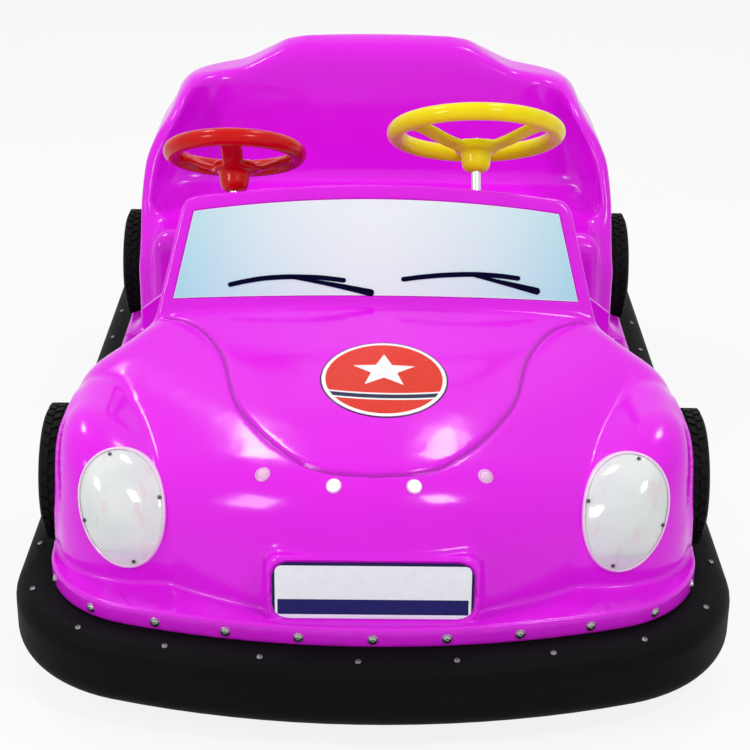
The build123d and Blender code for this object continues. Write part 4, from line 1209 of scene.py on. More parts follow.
def strip_mesh(route, widths, count, base):
    """Points and faces of a low raised strip on the windscreen panel."""
    upper, lower = tapered_strip(route, widths, count)
    points, faces = [], []
    for a, b in zip(upper, lower):
        for (x, up), rise in ((a, 0.0), (a, WIPER_RISE), (b, WIPER_RISE), (b, 0.0)):
            points.append(screen_point(x, up, rise))
    for i in range(count - 1):
        for k in range(4):
            n = (k + 1) % 4
            faces.append((base + 4 * i + k, base + 4 * i + n, base + 4 * i + 4 + n, base + 4 * i + 4 + k))
    faces.append((base + 3, base + 2, base + 1, base))
    end = base + 4 * (count - 1)
    faces.append((end, end + 1, end + 2, end + 3))
    return points, faces


def outward(name, points, faces):
    """Mesh from points and faces with its doubles merged and its faces turned outward."""
    work = bmesh.new()
    corners = [work.verts.new(tuple(p)) for p in points]
    for face in faces:
        work.faces.new([corners[i] for i in face])
    bmesh.ops.remove_doubles(work, verts=work.verts, dist=1e-6)
    return finished_mesh(name, work)


class BUMPERCAR_OT_windscreen(bpy.types.Operator):
    """Prints the windscreen panel and lays the two wipers on it"""

    bl_idname = "bumper_car.windscreen"
    bl_label = "Windscreen"

    def execute(self, context):
        settings = context.scene.bumper_screen
        pane = Finish("printed_windscreen")
        edge = rgba(settings.edge_colour)
        side = (abs(pane.x) / SCREEN_HALF[0] * 1.05).held() ** 1.7
        fade = (side * 0.85 + 0.10 * pane.noise(5.0, 2.0) + 0.08 * (0.56 - pane.z) / 0.1).held()
        tone = pane.mix(fade, (0.88, 0.97, 0.96, 1), edge)
        fleck = pane.noise(420.0, 2.0).above(0.70)
        tone = pane.mix(fleck * 0.12, tone, (0.75, 0.86, 0.90, 1))
        tone = pane.mix(pane.painted("border"), tone, (0.96, 0.94, 0.97, 1))
        wave = pane.bump(pane.noise(30.0, 2.0), 0.0002)
        rough = 0.2 + 0.1 * pane.noise(60.0)
        printed = pane.surface(
            Base_Color=tone, Roughness=rough, Coat_Weight=0.2, Coat_Roughness=0.08, Normal=wave
        )
        points, faces, rim = pane_sheet()
        mesh = bpy.data.meshes.new("printed_panel")
        mesh.from_pydata(points, [], faces)
        note_share(mesh, "border", rim)
        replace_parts(dress("printed_panel", mesh, printed, "car", 40), "windscreen_panel")
        coat_nodes(printed, "windscreen_panel")
        ink = moulded("wiper_ink", shade(settings.print_colour, 0.3), 0.5, 0.0, shine=0.03)
        width = settings.wiper_width
        for side_name, blade, arm in WIPERS:
            points, faces = strip_mesh(blade, (width, width * 1.05, width), WIPER_STEPS, 0)
            arm_widths = (width * 0.4, width, width * 1.55)
            more, arm_faces = strip_mesh(arm, arm_widths, WIPER_STEPS, len(points))
            mesh = outward(f"wiper_{side_name}", points + more, faces + arm_faces)
            dress(f"wiper_{side_name}", mesh, ink, "car", 40)
        return {"FINISHED"}


# Headlamps and nose lamps

# Headlamp: place on the left fender, turn about the vertical, rake back and tilt of its oval
HEADLAMP_PLACE = (0.404, -0.782, 0.328)
HEADLAMP_TURN = math.radians(8)
HEADLAMP_RAKE = math.radians(25)
HEADLAMP_TILT = math.radians(14)
HEADLAMP_SEAT = 0.006
HEADLAMP_RIM = 0.0042
HEADLAMP_LIP = 0.004
DOME_POWER = 2.3
SCREW_TURNS = (4, 94, 186, 273)
SCREW_REACH = 0.90
SCREW_RADIUS = 0.0032
SIDES = (("left", 1), ("right", -1))


def lamp_frame(side):
    """Matrix of a headlamp: local z out of the fender, local y up the oval."""
    out = Vector((
        side * math.sin(HEADLAMP_TURN) * math.cos(HEADLAMP_RAKE),
        -math.cos(HEADLAMP_TURN) * math.cos(HEADLAMP_RAKE),
        math.sin(HEADLAMP_RAKE),
    ))
    across = Vector((math.cos(HEADLAMP_TURN), side * math.sin(HEADLAMP_TURN), 0))
    up = out.cross(across)
    turn = Matrix.Rotation(-side * HEADLAMP_TILT, 4, "Z")
    axes = Matrix((across, up, out)).transposed().to_4x4()
    return Matrix.Translation(Vector((side * HEADLAMP_PLACE[0], *HEADLAMP_PLACE[1:]))) @ axes @ turn


def dome_height(reach, rise):
    """Height of a headlamp's dome at a share of the way from its middle to its rim."""
    return HEADLAMP_LIP + rise * (1 - reach**DOME_POWER)


def lamp_points(place, points):
    """Local points of a headlamp set on the fender's skin, each raised from where the skin is."""
    points = np.array(points, float)
    turn = np.array(place.to_3x3())
    base = points * (1, 1, 0) @ turn.T + np.array(place.translation)
    out = turn[:, 2]
    for _ in range(40):
        base = base - out * (nose_skin(np.abs(base[:, 0]), base[:, 1], base[:, 2]) * 0.8)[:, None]
    return base + points[:, 2:] * out


def oval_rings(half_width, half_height, rings, sides):
    """Points and faces of nested ovals given as (share of the oval, inset, height)."""
    points, faces = [], []
    for share, inset, height in rings:
        for i in range(sides):
            turn = 2 * math.pi * i / sides
            points.append((
                (half_width - inset) * share * math.cos(turn),
                (half_height - inset) * share * math.sin(turn),
                height,
            ))
    for r in range(len(rings) - 1):
        for i in range(sides):
            j = (i + 1) % sides
            faces.append((r * sides + i, r * sides + j, (r + 1) * sides + j, (r + 1) * sides + i))
    last = len(points) - sides
    points.append((0, 0, rings[-1][2]))
    faces += [(last + i, last + (i + 1) % sides, len(points) - 1) for i in range(sides)]
    faces.append(tuple(range(sides - 1, -1, -1)))
    return points, faces


def coat_rim(mesh, place, half_width, half_height, limit, finish):
    """Gives a lamp's faces past a share of its oval a finish of their own."""
    mesh.materials.append(finish)
    inverse = place.inverted()
    for face in mesh.polygons:
        local = inverse @ face.center
        face.material_index = int(math.hypot(local.x / half_width, local.y / half_height) > limit)


class BUMPERCAR_OT_headlamps(bpy.types.Operator):
    """Builds the two opal headlamps with their rims and screws"""

    bl_idname = "bumper_car.headlamps"
    bl_label = "Headlamps"

    def execute(self, context):
        settings = context.scene.bumper_lamps
        opal = Finish("opal_dome")
        smoke = opal.noise(11.0, 3.0, 0.5, (1, 1, 1), 0.6)
        # Painted reflection: pink patches stand for the pink body mirrored in the dome
        pink_reflection = opal.noise(16.0, 2.0, 0.5, (2.5, 1, 1)).above(0.60)
        tone = opal.mix(smoke, (0.60, 0.68, 0.68, 1), (0.86, 0.86, 0.84, 1))
        tone = opal.mix(pink_reflection * 0.30, tone, (0.80, 0.52, 0.60, 1))
        dome_finish = opal.surface(
            Base_Color=tone, Roughness=0.10 + 0.08 * opal.noise(40.0), Coat_Weight=0.6, Coat_Roughness=0.04,
            Normal=opal.bump(opal.noise(24.0, 2.0), 0.0003),
        )
        rim_finish = moulded("lamp_rim", (0.90, 0.70, 0.88), 0.2, 0.5)
        half_width = settings.dome_width / 2
        half_height = settings.dome_height / 2
        rise = settings.dome_rise
        rim = HEADLAMP_RIM
        outer = [(1, 0, -HEADLAMP_SEAT), (1, 0, HEADLAMP_LIP)]
        outer += [(1, rim * 0.2, 0.0065), (1, rim * 0.7, 0.0075), (1, rim, 0.006)]
        outer.append((1, rim, dome_height(1.0, rise) - 0.0005))
        dome = [(share, rim, dome_height(share, rise)) for share in np.linspace(0.985, 0.04, 22)]
        head = [(0, -0.3), (1, -0.3), (1, 0.15), (0.75, 0.5), (0.3, 0.62), (0, 0.62)]
        screw = turned_stamp(head, 14, "lamp_screw")
        steel = metal("lamp_screw_steel", (0.10, 0.10, 0.11), 0.35)
        for side_name, side in SIDES:
            place = lamp_frame(side)
            points, faces = oval_rings(half_width, half_height, outer + dome, 72)
            mesh = outward(f"headlamp_dome_{side_name}", lamp_points(place, points), faces)
            lamp = dress(f"headlamp_dome_{side_name}", mesh, dome_finish, "car", 50)
            coat_rim(mesh, place, half_width - rim, half_height - rim, 0.997, rim_finish)
            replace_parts(lamp, f"headlamp_{side_name}")
            screws = []
            for turn in SCREW_TURNS:
                angle = math.radians(turn if side < 0 else 180 - turn)
                x = half_width * SCREW_REACH * math.cos(angle)
                y = half_height * SCREW_REACH * math.sin(angle)
                spot = Vector(lamp_points(place, [(x, y, dome_height(SCREW_REACH, rise) + 0.0004)])[0])
                facing = place.to_3x3() @ Vector((x * 3, y * 3, 0.40)).normalized()
                screws.append((spot, facing, facing.orthogonal()))
            name = f"headlamp_screws_{side_name}"
            repeat(name, screw, screws, SCREW_RADIUS, math.pi, steel, "car")
        coat_nodes(dome_finish, "headlamp_left", "headlamp_right")
        return {"FINISHED"}


# Nose lamps: whether each is lit, from the rider's right
NOSE_LAMPS_LIT = (False, True, True, False)
NOSE_LAMP_SINK = 0.010
LENS_LIP = 0.0022
LENS_RISE = 0.0062
LENS_SHARE = 0.24


def skin_spot(x, y, z):
    """Point on the nose skin behind and below a nearby point, and the skin's normal."""
    spot = np.array([[abs(x), y, z]])
    for _ in range(30):
        spot = spot + np.array((0, 0.91, -0.41)) * (nose_skin(*spot.T) * 0.9)[:, None]
    slope = gradient(nose_skin, spot)[0]
    side = 1 if x >= 0 else -1
    turn = np.array((side, 1, 1))
    return Vector(spot[0] * turn), Vector(slope * turn).normalized()


class BUMPERCAR_OT_nose_lamps(bpy.types.Operator):
    """Builds the four small nose lamps, the middle two lit"""

    bl_idname = "bumper_car.nose_lamps"
    bl_label = "Nose Lamps"

    def execute(self, context):
        settings = context.scene.bumper_lamps
        radius = settings.nose_radius
        clear = Finish("clear_lens")
        ring = clear.noise(90.0, 2.0)
        dark = clear.surface(
            Base_Color=clear.mix(ring, (0.80, 0.30, 0.66, 1), (0.93, 0.72, 0.90, 1)),
            Roughness=0.12 + 0.1 * ring, Coat_Weight=0.8, Normal=clear.bump(ring, 0.0004),
        )
        warm = Finish("lit_lens")
        ripple = warm.noise(120.0, 2.0)
        lit = warm.surface(
            Base_Color=warm.mix(ripple, (0.95, 0.80, 0.66, 1), (1.0, 0.95, 0.86, 1)),
            Emission_Color=warm.mix(ripple, (1.0, 0.72, 0.42, 1), (1.0, 0.90, 0.72, 1)),
            Emission_Strength=settings.glow, Roughness=0.15, Normal=warm.bump(ripple, 0.0003),
        )
        bezel = moulded("lens_bezel", (0.85, 0.45, 0.82), 0.22, 0.5)
        for number, is_lit in enumerate(NOSE_LAMPS_LIT, start=1):
            low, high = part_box(f"nose_lamp_{number}")
            middle = (low + high) / 2
            spot, facing = skin_spot(middle.x, middle.y, middle.z)
            place = Matrix.Translation(spot) @ facing.to_track_quat("Z", "Y").to_matrix().to_4x4()
            rings = [(1, 0, -NOSE_LAMP_SINK), (1, 0, 0.0015)]
            rings += [(1, radius * 0.08, 0.003), (1, radius * 0.2, 0.0032)]
            rings.append((1, radius * LENS_SHARE, LENS_LIP))
            for share in np.linspace(0.97, 0.1, 9):
                rings.append((share, radius * LENS_SHARE, LENS_LIP + LENS_RISE * (1 - share**2.2)))
            points, faces = oval_rings(radius, radius, rings, 36)
            name = f"nose_lamp_lens_{number}"
            mesh = outward(name, [place @ Vector(p) for p in points], faces)
            lens = dress(name, mesh, lit if is_lit else dark, "car", 50)
            coat_rim(mesh, place, radius, radius, 0.765, bezel)
            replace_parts(lens, f"nose_lamp_{number}")
            coat_nodes(lit if is_lit else dark, f"nose_lamp_{number}")
        return {"FINISHED"}


# Number plate and hood roundel

PLATE_SKIN = 0.0014
ROUNDEL = (0.015, -0.592)
ROUNDEL_HALF = (0.106, 0.116)
STAR_INNER = 0.42


def plate(x, y, z):
    """Number plate, sunk in its pocket on the nose."""
    sunk = np.abs(pad_face(y, z) + PLATE_SKIN + 0.0015) - 0.0015
    return soft_cut(plate_field(np.abs(x), z), sunk * 0.98, 0.0008)


def plate_print(ink):
    """White plate with a navy edge line and a navy band along its foot."""
    finish = Finish("printed_plate")
    half_z = (PLATE_Z[1] - PLATE_Z[0]) / 2
    middle_z = PLATE_Z[0] + half_z

    def inset(distance, corner, high=0.0):
        """1 inside the plate's outline drawn in by a distance, and by more at its upper edge."""
        across = (abs(finish.x) - (PLATE_HALF - distance - corner)).most(0.0)
        above = (finish.z - (middle_z + half_z - distance - corner - high)).most(0.0)
        below = ((middle_z - half_z + distance) - finish.z).most(0.0)
        return ((across**2 + above**2 + below**2) ** 0.5).below(corner + 1e-5)

    field = inset(0.0045, 0.011)
    band = inset(0.0085, 0.0012, 0.054)
    wear = finish.noise(70.0, 4.0)
    white = finish.mix(wear, (0.82, 0.82, 0.90, 1), (0.93, 0.93, 0.97, 1))
    tone = finish.mix(field, rgba(ink), white)
    tone = finish.mix(band, tone, shade(ink, 1.6))
    return finish.surface(
        Base_Color=tone, Roughness=0.26 + 0.14 * wear, Specular_IOR_Level=0.2,
        Normal=finish.bump(field - band, 0.0001, finish.bump(wear, 0.0001)),
    )


def roundel_print(colour):
    """Red oval with a white edge, a white star and two stripes under it, its red painted lighter towards the
    rear edge.
    """
    finish = Finish("printed_roundel")
    u = (finish.x - ROUNDEL[0]) / ROUNDEL_HALF[0]
    v = (finish.y - ROUNDEL[1]) / ROUNDEL_HALF[1]
    reach = (u**2 + v**2) ** 0.5
    wear = finish.noise(55.0, 4.0)
    # Painted light: the red grows lighter towards the roundel's rear edge; the wear noise adds patchy real
    # wear
    tone = finish.mix(v.held() * 0.5 + wear * 0.3, rgba(colour), shade(colour, 1.2))
    star_v = v - 0.17
    star_u = u * (ROUNDEL_HALF[0] / ROUNDEL_HALF[1])
    arm = (star_u**2 + star_v**2) ** 0.5
    turn = star_u.math("ARCTAN2", star_v).math("PINGPONG", math.pi / 5)
    edge = Vector((STAR_INNER * math.sin(math.pi / 5), 1 - STAR_INNER * math.cos(math.pi / 5))).normalized()
    point = arm * (turn.math("COSINE") * edge.x + turn.math("SINE") * edge.y)
    tone = finish.mix(point.below(0.47 * edge.x), tone, PRINT_WHITE)
    bow = v + 0.52 - 0.16 * u**2
    tone = finish.mix(abs(bow).below(0.085), tone, PRINT_WHITE)
    tone = finish.mix(abs(bow).below(0.048), tone, ROUNDEL_NAVY)
    tone = finish.mix(reach.above(0.915), tone, EDGE_WHITE)
    tone = finish.mix(reach.above(0.975), tone, ROUNDEL_EDGE)
    rough = 0.20 + 0.12 * wear
    grain = finish.bump(wear, 0.0001)
    return finish.surface(Base_Color=tone, Roughness=rough, Specular_IOR_Level=0.25, Normal=grain)


class BUMPERCAR_OT_decals(bpy.types.Operator):
    """Builds the blank number plate and the roundel on the hood"""

    bl_idname = "bumper_car.decals"
    bl_label = "Plate and Roundel"

    def execute(self, context):
        ink = context.scene.bumper_screen.print_colour
        mesh_form(
            "number_plate", plate, (0, -0.916, 0.198), (0.162, -0.890, 0.306), 0.0018,
            plate_print(ink), "car", crease=40,
        )
        sides = 96
        rings = [(share, 0.0008) for share in np.linspace(0.03, 0.99, 22)] + [(1.0, 0.0003), (1.0, -0.002)]
        turns = np.linspace(0, 2 * math.pi, sides, endpoint=False)
        points, faces = [], []
        for share, rise in rings:
            x = ROUNDEL[0] + ROUNDEL_HALF[0] * share * np.cos(turns)
            y = ROUNDEL[1] + ROUNDEL_HALF[1] * share * np.sin(turns)
            z = np.full(sides, 0.47)
            for _ in range(15):
                z = z - (nose_skin(np.abs(x), y, z) - rise) * 0.95
            points += list(zip(x, y, z))
        for r in range(len(rings) - 1):
            for i in range(sides):
                j = (i + 1) % sides
                faces.append((r * sides + i, (r + 1) * sides + i, (r + 1) * sides + j, r * sides + j))
        last = (len(rings) - 1) * sides
        faces.append(tuple(range(sides)))
        faces.append(tuple(range(last + sides - 1, last - 1, -1)))
        mesh = outward("hood_roundel", points, faces)
        finish = roundel_print(context.scene.bumper_trim.roundel_colour)
        dress("hood_roundel", mesh, finish, "car", 50)
        return {"FINISHED"}


# Bolts and screws

BOLT_Z = 0.1805
RING_SCREW_GROW = 0.036


def skirt_route(pitch, grow, offset=0.0):
    """Points on the skirt's outline, moved out by grow, a pitch apart both ways from the nose."""
    turns = np.linspace(-math.pi, math.pi, 4001)
    aim = np.stack((np.sin(turns), -np.cos(turns)), 1)
    near, far = np.zeros(len(turns)), np.full(len(turns), 2.0)
    for _ in range(40):
        middle = (near + far) / 2
        out = skirt_plan(np.abs(aim[:, 0] * middle), aim[:, 1] * middle, grow) > 0
        near, far = np.where(out, near, middle), np.where(out, middle, far)
    line = aim * near[:, None]
    run = np.concatenate(([0], np.cumsum(np.linalg.norm(np.diff(line, axis=0), axis=1))))
    run = run - np.interp(0, turns, run)
    stops = np.arange(math.ceil(run[0] / pitch), math.floor(run[-1] / pitch) + 1) * pitch + offset
    x = np.interp(stops, run, line[:, 0])
    y = np.interp(stops, run, line[:, 1])
    ahead_x = np.interp(stops + 0.002, run, line[:, 0]) - x
    ahead_y = np.interp(stops + 0.002, run, line[:, 1]) - y
    spots = []
    for px, py, run_x, run_y in zip(x, y, ahead_x, ahead_y):
        turned = 1 if -run_y * px + run_x * py > 0 else -1
        spots.append((Vector((px, py, 0)), Vector((-run_y, run_x, 0)).normalized() * turned))
    return spots


def in_wheel_notch(point, margin):
    """Whether a point on the skirt lies where a dummy wheel stands."""
    return abs(point.x) > 0.40 and any(
        abs(point.y - centre_y) < radius * 0.75 + margin for centre_y, _, radius, _ in WHEEL_PLACES.values()
    )


def cad_hit(name, origin, direction):
    """Where a ray first meets a CAD node, and the surface's normal there."""
    hit, spot, facing, _ = NODES[name].ray_cast(origin, direction)
    if not hit:
        raise RuntimeError(f"no {name} along the ray from {tuple(origin)}")
    return spot, facing


class BUMPERCAR_OT_trim(bpy.types.Operator):
    """Sets chrome bolts round the skirt and dark screws round the rubber ring"""

    bl_idname = "bumper_car.trim"
    bl_label = "Bolts and Screws"

    def execute(self, context):
        settings = context.scene.bumper_trim
        chrome = metal("bolt_chrome", (0.46, 0.44, 0.46), 0.16)
        dark = metal("screw_steel", (0.22, 0.22, 0.24), 0.30)
        head = [(1.0, -0.3), (1.0, 0.08), (0.92, 0.14), (0.74, 0.14), (0.70, 0.26)]
        head += [(0.52, 0.36), (0.34, 0.40), (0.30, 0.10), (0, 0.10)]
        bolt = turned_stamp(head, 16, "skirt_bolt")
        up = Vector((0, 0, 1))
        places = []
        for point, out in skirt_route(settings.bolt_pitch, 0.0):
            if not in_wheel_notch(point, 0.010):
                places.append((Vector((point.x, point.y, BOLT_Z)), out, up))
        repeat("skirt_bolts", bolt, places, settings.bolt_radius, math.pi, chrome, "car")
        head = [(1, -0.4), (1, 0.18), (0.8, 0.42), (0.4, 0.5), (0.3, 0.2), (0, 0.2)]
        screw = turned_stamp(head, 12, "ring_screw")
        places = []
        for point, out in skirt_route(settings.screw_pitch, RING_SCREW_GROW, -0.022):
            spot, facing = cad_hit("bumper_ring", (point.x, point.y, 0.30), (0, 0, -1))
            places.append((spot, facing, out))
        repeat("ring_screws", screw, places, settings.screw_radius, math.pi, dark, "car")
        coat_nodes(rubber("bumper_rubber", (0.0025, 0.0025, 0.003)), "bumper_ring")
        return {"FINISHED"}


# Dummy wheels

# Tread rows: share of the tyre's width and the way the blocks slant
TREAD_ROWS = ((0.26, -1), (0.52, 1), (0.78, -1))
BLOCK_LENGTH = 0.64
BLOCK_WIDTH = 0.235
BLOCK_SLANT = 0.45
CAP_NUTS = 5
CAP_NUT_CIRCLE = 0.032
CAP_NUT_RADIUS = 0.0062


def tread_block(name, length, width, slant):
    """A slanted tread block one unit high: a foot, a face and bevelled edges."""
    work = bmesh.new()
    rings = []
    for height, inset in ((-0.5, 0.0), (0.7, 0.0), (1.0, 0.12)):
        ring = []
        for a, b in ((-1, -1), (1, -1), (1, 1), (-1, 1)):
            across = b * (width / 2 - inset)
            ring.append(work.verts.new((a * (length / 2 - inset) + slant * across, across, height)))
        rings.append(ring)
    for lower, upper in zip(rings[:-1], rings[1:]):
        for i in range(4):
            j = (i + 1) % 4
            work.faces.new((lower[i], lower[j], upper[j], upper[i]))
    work.faces.new(rings[-1])
    work.faces.new(rings[0][::-1])
    return finished_mesh(name, work)


def tyre_rubber(name, centre_y, centre_z, radius, ribs):
    """Tyre rubber with rings and short ribs on its side wall, grey with dust between them."""
    finish = Finish(name)
    y = finish.y - centre_y
    z = finish.z - centre_z
    reach = (y**2 + z**2) ** 0.5 / radius
    turn = z.math("ARCTAN2", y)
    rings = abs((reach * 52.0).math("SINE")).above(0.75) * reach.above(0.66) * reach.below(0.86)
    teeth = (turn * ribs).math("SINE").above(0.0) * reach.above(0.88) * reach.below(0.965)
    dust = finish.noise(18.0, 5.0, 0.6)
    tone = finish.mix(dust * 0.7, TYRE_BLACK, TYRE_DUST)
    tone = finish.mix(rings * 0.25, tone, TYRE_RING)
    relief = finish.bump(rings * 0.6 + teeth, 0.0012, finish.bump(finish.noise(150.0, 4.0), 0.0003))
    rough = 0.46 + 0.25 * dust
    return finish.surface(Base_Color=tone, Roughness=rough, Specular_IOR_Level=0.07, Normal=relief)


class BUMPERCAR_OT_dummy_wheels(bpy.types.Operator):
    """Cuts tread into the dummy tyres and sets nuts on their caps"""

    bl_idname = "bumper_car.dummy_wheels"
    bl_label = "Dummy Wheels"

    def execute(self, context):
        settings = context.scene.bumper_wheels
        silver = metal("cap_silver_paint", (0.60, 0.60, 0.62), 0.28, (1, 4, 4))
        nut_steel = metal("wheel_nut_steel", (0.70, 0.70, 0.72), 0.16)
        head = [(1, -0.6), (1, 0.5), (0.86, 0.62), (0.62, 0.62), (0.5, 0.95), (0, 1.1)]
        nut = turned_stamp(head, 6, "wheel_nut")
        depth = settings.tread_depth
        for place, (centre_y, centre_z, radius, _) in WHEEL_PLACES.items():
            finish = tyre_rubber(f"dummy_tyre_rubber_{place}", centre_y, centre_z, radius, 60.0)
            for side_name, side in SIDES:
                node = f"dummy_tyre_{place}_{side_name}"
                low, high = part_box(node)
                width = high.x - low.x
                pitch = 2 * math.pi * radius / settings.tread_blocks
                rows = {1: [], -1: []}
                for number, (share, slant) in enumerate(TREAD_ROWS):
                    for i in range(settings.tread_blocks):
                        turn = 2 * math.pi * (i + 0.5 * (number % 2)) / settings.tread_blocks
                        out = Vector((0, math.cos(turn), math.sin(turn)))
                        x = (low.x + width * share) if side > 0 else (high.x - width * share)
                        origin = Vector((x, centre_y, centre_z)) + out * 0.3
                        spot, _ = cad_hit(node, origin, -out)
                        rows[slant * side].append((spot, out, Vector((0, -out.z, out.y))))
                for slant, places in rows.items():
                    length, across = pitch * BLOCK_LENGTH / depth, width * BLOCK_WIDTH / depth
                    block = tread_block("tread_block", length, across, slant * BLOCK_SLANT)
                    name = f"tread_{place}_{side_name}_{'a' if slant > 0 else 'b'}"
                    repeat(name, block, places, depth, 0.0, finish, "car", 25)
                cap = f"wheel_cap_{place}_{side_name}"
                nuts = []
                for i in range(CAP_NUTS):
                    turn = 2 * math.pi * (i + 0.25) / CAP_NUTS
                    out = Vector((0, math.cos(turn), math.sin(turn)))
                    origin = Vector((side * 0.8, centre_y, centre_z)) + out * CAP_NUT_CIRCLE
                    spot, _ = cad_hit(cap, origin, (-side, 0, 0))
                    nuts.append((spot, Vector((side, 0, 0)), out))
                name = f"cap_nuts_{place}_{side_name}"
                repeat(name, nut, nuts, CAP_NUT_RADIUS, 0.0, nut_steel, "car")
                coat_nodes(finish, node)
                coat_nodes(silver, cap)
        return {"FINISHED"}


# Steering wheels: local x across the car, local y up the dash, local z up the column

WHEEL_TILT = math.radians(31.5)
WHEEL_TUBE = 0.016
SPOKE_HALF = 0.019
HUB_RADIUS = 0.040
HUB_SINK = 0.027
CUP_DEPTH = 0.074
CUP_RADIUS = 0.029
CUP_TAPER = 0.004
HUB_HALF = 0.008
HUB_SCREW_CIRCLE = 0.029
HUB_SCREW_RADIUS = 0.0038
HUB_CAP_RADIUS = 0.019
# Steering wheels: who steers, radius of the rim's middle, angle of the first spoke and slot
STEERING_WHEELS = (("main", 0.149, 90, "wheel_yellow"), ("child", 0.117, 30, "wheel_red"))


def steering_form(radius, first_spoke):
    """Form of a steering wheel: round rim, three flat spokes, hub disc and the cup under it."""

    def form(x, y, z):
        reach = np.hypot(x, y)
        rim = np.hypot(reach - radius, z) - WHEEL_TUBE
        hub = rounded_slab(reach - HUB_RADIUS, np.abs(z + HUB_SINK) - HUB_HALF, 0.005)
        cup_radius = CUP_RADIUS - CUP_TAPER * np.clip((-HUB_SINK - z) / (CUP_DEPTH - HUB_SINK), 0, 1)
        cup = soft_cut(reach - cup_radius, np.maximum(-z - CUP_DEPTH, z + HUB_SINK), 0.018)
        wheel = soft_union(hub, cup, 0.012)
        for turn in (0, 120, 240):
            angle = math.radians(first_spoke + turn)
            along = x * math.cos(angle) + y * math.sin(angle)
            across = np.abs(-x * math.sin(angle) + y * math.cos(angle))
            half = SPOKE_HALF + 0.35 * np.maximum(along - radius + 0.035, 0)
            drop = np.clip((radius - along) / (radius - 0.030), 0, 1)
            sink = HUB_SINK * drop * drop * (3 - 2 * drop)
            spoke = rounded_slab(across - half, np.abs(z + sink) - 0.0055, 0.0045)
            rib = rounded_slab(across - 0.004, np.abs(z + sink - 0.0045) - 0.0035, 0.0025)
            spoke = soft_union(spoke, rib, 0.003)
            spoke = soft_cut(spoke, np.maximum(along - radius, 0.01 - along), 0.002)
            wheel = soft_union(wheel, spoke, 0.008)
        return soft_union(wheel, rim, 0.010)

    return form


class BUMPERCAR_OT_steering(bpy.types.Operator):
    """Builds the driver's and the child's steering wheels"""

    bl_idname = "bumper_car.steering"
    bl_label = "Steering Wheels"

    def execute(self, context):
        settings = context.scene.bumper_wheels
        cap_finish = metal("wheel_centre_cap", (0.62, 0.62, 0.64), 0.22)
        chrome = metal("column_chrome", (0.74, 0.74, 0.76), 0.12, (6, 6, 0.5))
        for who, radius, first_spoke, slot in STEERING_WHEELS:
            colour = getattr(settings, f"{who}_colour")
            node = f"{who}_steering_wheel"
            centre = Vector(JOINTS[f"{who}_steering_turn"]["pos_m"])
            tilt = Matrix.Rotation(-WHEEL_TILT, 4, "X")
            place = Matrix.Translation(centre) @ tilt
            form = steering_form(radius, first_spoke)
            gloss = moulded(f"{who}_wheel_plastic", colour, 0.16, 0.1)
            reach = radius + WHEEL_TUBE + 0.004
            wheel = mesh_form(
                f"{who}_wheel_rim", form, (0, -reach, -CUP_DEPTH - 0.004), (reach, reach, 0.022), 0.0022,
                gloss, f"{who}_steering", crease=45,
            )
            wheel.data.transform(place)
            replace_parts(wheel, node)
            dome = [(1, -0.2), (1, 0.12), (0.9, 0.22), (0.5, 0.34), (0.2, 0.38), (0, 0.38)]
            cap = turned_stamp(dome, 28, "hub_cap")
            axis = place.to_3x3() @ Vector((0, 0, 1))
            spot = [(place @ Vector((0, 0, HUB_HALF - HUB_SINK)), axis, Vector((1, 0, 0)))]
            body = f"{who}_steering"
            repeat(f"{who}_hub_cap", cap, spot, HUB_CAP_RADIUS, 0.0, cap_finish, body)
            screw = turned_stamp([(1, -0.5), (1, 0.4), (0.7, 0.7), (0, 0.8)], 6, "hub_screw")
            spots = []
            for i in range(3):
                turn = math.radians(first_spoke + 60 + 120 * i)
                x, y = HUB_SCREW_CIRCLE * math.cos(turn), HUB_SCREW_CIRCLE * math.sin(turn)
                spots.append((place @ Vector((x, y, HUB_HALF - HUB_SINK)), axis, Vector((1, 0, 0))))
            name = f"{who}_hub_screws"
            repeat(name, screw, spots, HUB_SCREW_RADIUS, math.pi, cap_finish, body)
            coat_nodes(gloss, node)
            coat_nodes(chrome, f"{who}_column")
        return {"FINISHED"}


# Cockpit and running gear

CHEQUER_PITCH = 0.042
HUB_BOLTS = 5
HUB_BOLT_CIRCLE = 0.030
HUB_BOLT_RADIUS = 0.0055


def bolt_ring(name, node, centre, axis, radius, count, size, finish, body):
    """Hex bolts in a ring on the face of a CAD node, found along the ring's axis."""
    axis = Vector(axis).normalized()
    first = axis.orthogonal().normalized()
    second = axis.cross(first)
    nut = turned_stamp([(1, -0.6), (1, 0.55), (0.84, 0.68), (0, 0.68)], 6, "hex_bolt")
    places = []
    for i in range(count):
        turn = 2 * math.pi * (i + 0.5) / count
        out = first * math.cos(turn) + second * math.sin(turn)
        spot, _ = cad_hit(node, Vector(centre) + out * radius + axis * 0.5, -axis)
        places.append((spot, axis, out))
    repeat(name, nut, places, size, 0.0, finish, body)


class BUMPERCAR_OT_cockpit(bpy.types.Operator):
    """Finishes the floor plate, the pedal and the battery"""

    bl_idname = "bumper_car.cockpit"
    bl_label = "Cockpit"

    def execute(self, context):
        chequer = metal("floor_chequer_plate", (0.42, 0.42, 0.43), 0.34, (1, 1, 1), CHEQUER_PITCH)
        coat_nodes(chequer, "floor_pan")
        coat_nodes(rubber("pedal_rubber", (0.016, 0.016, 0.017)), "pedal")
        coat_nodes(moulded("battery_case", (0.030, 0.030, 0.032), 0.42, 0.0, 0.0002), "battery")
        return {"FINISHED"}


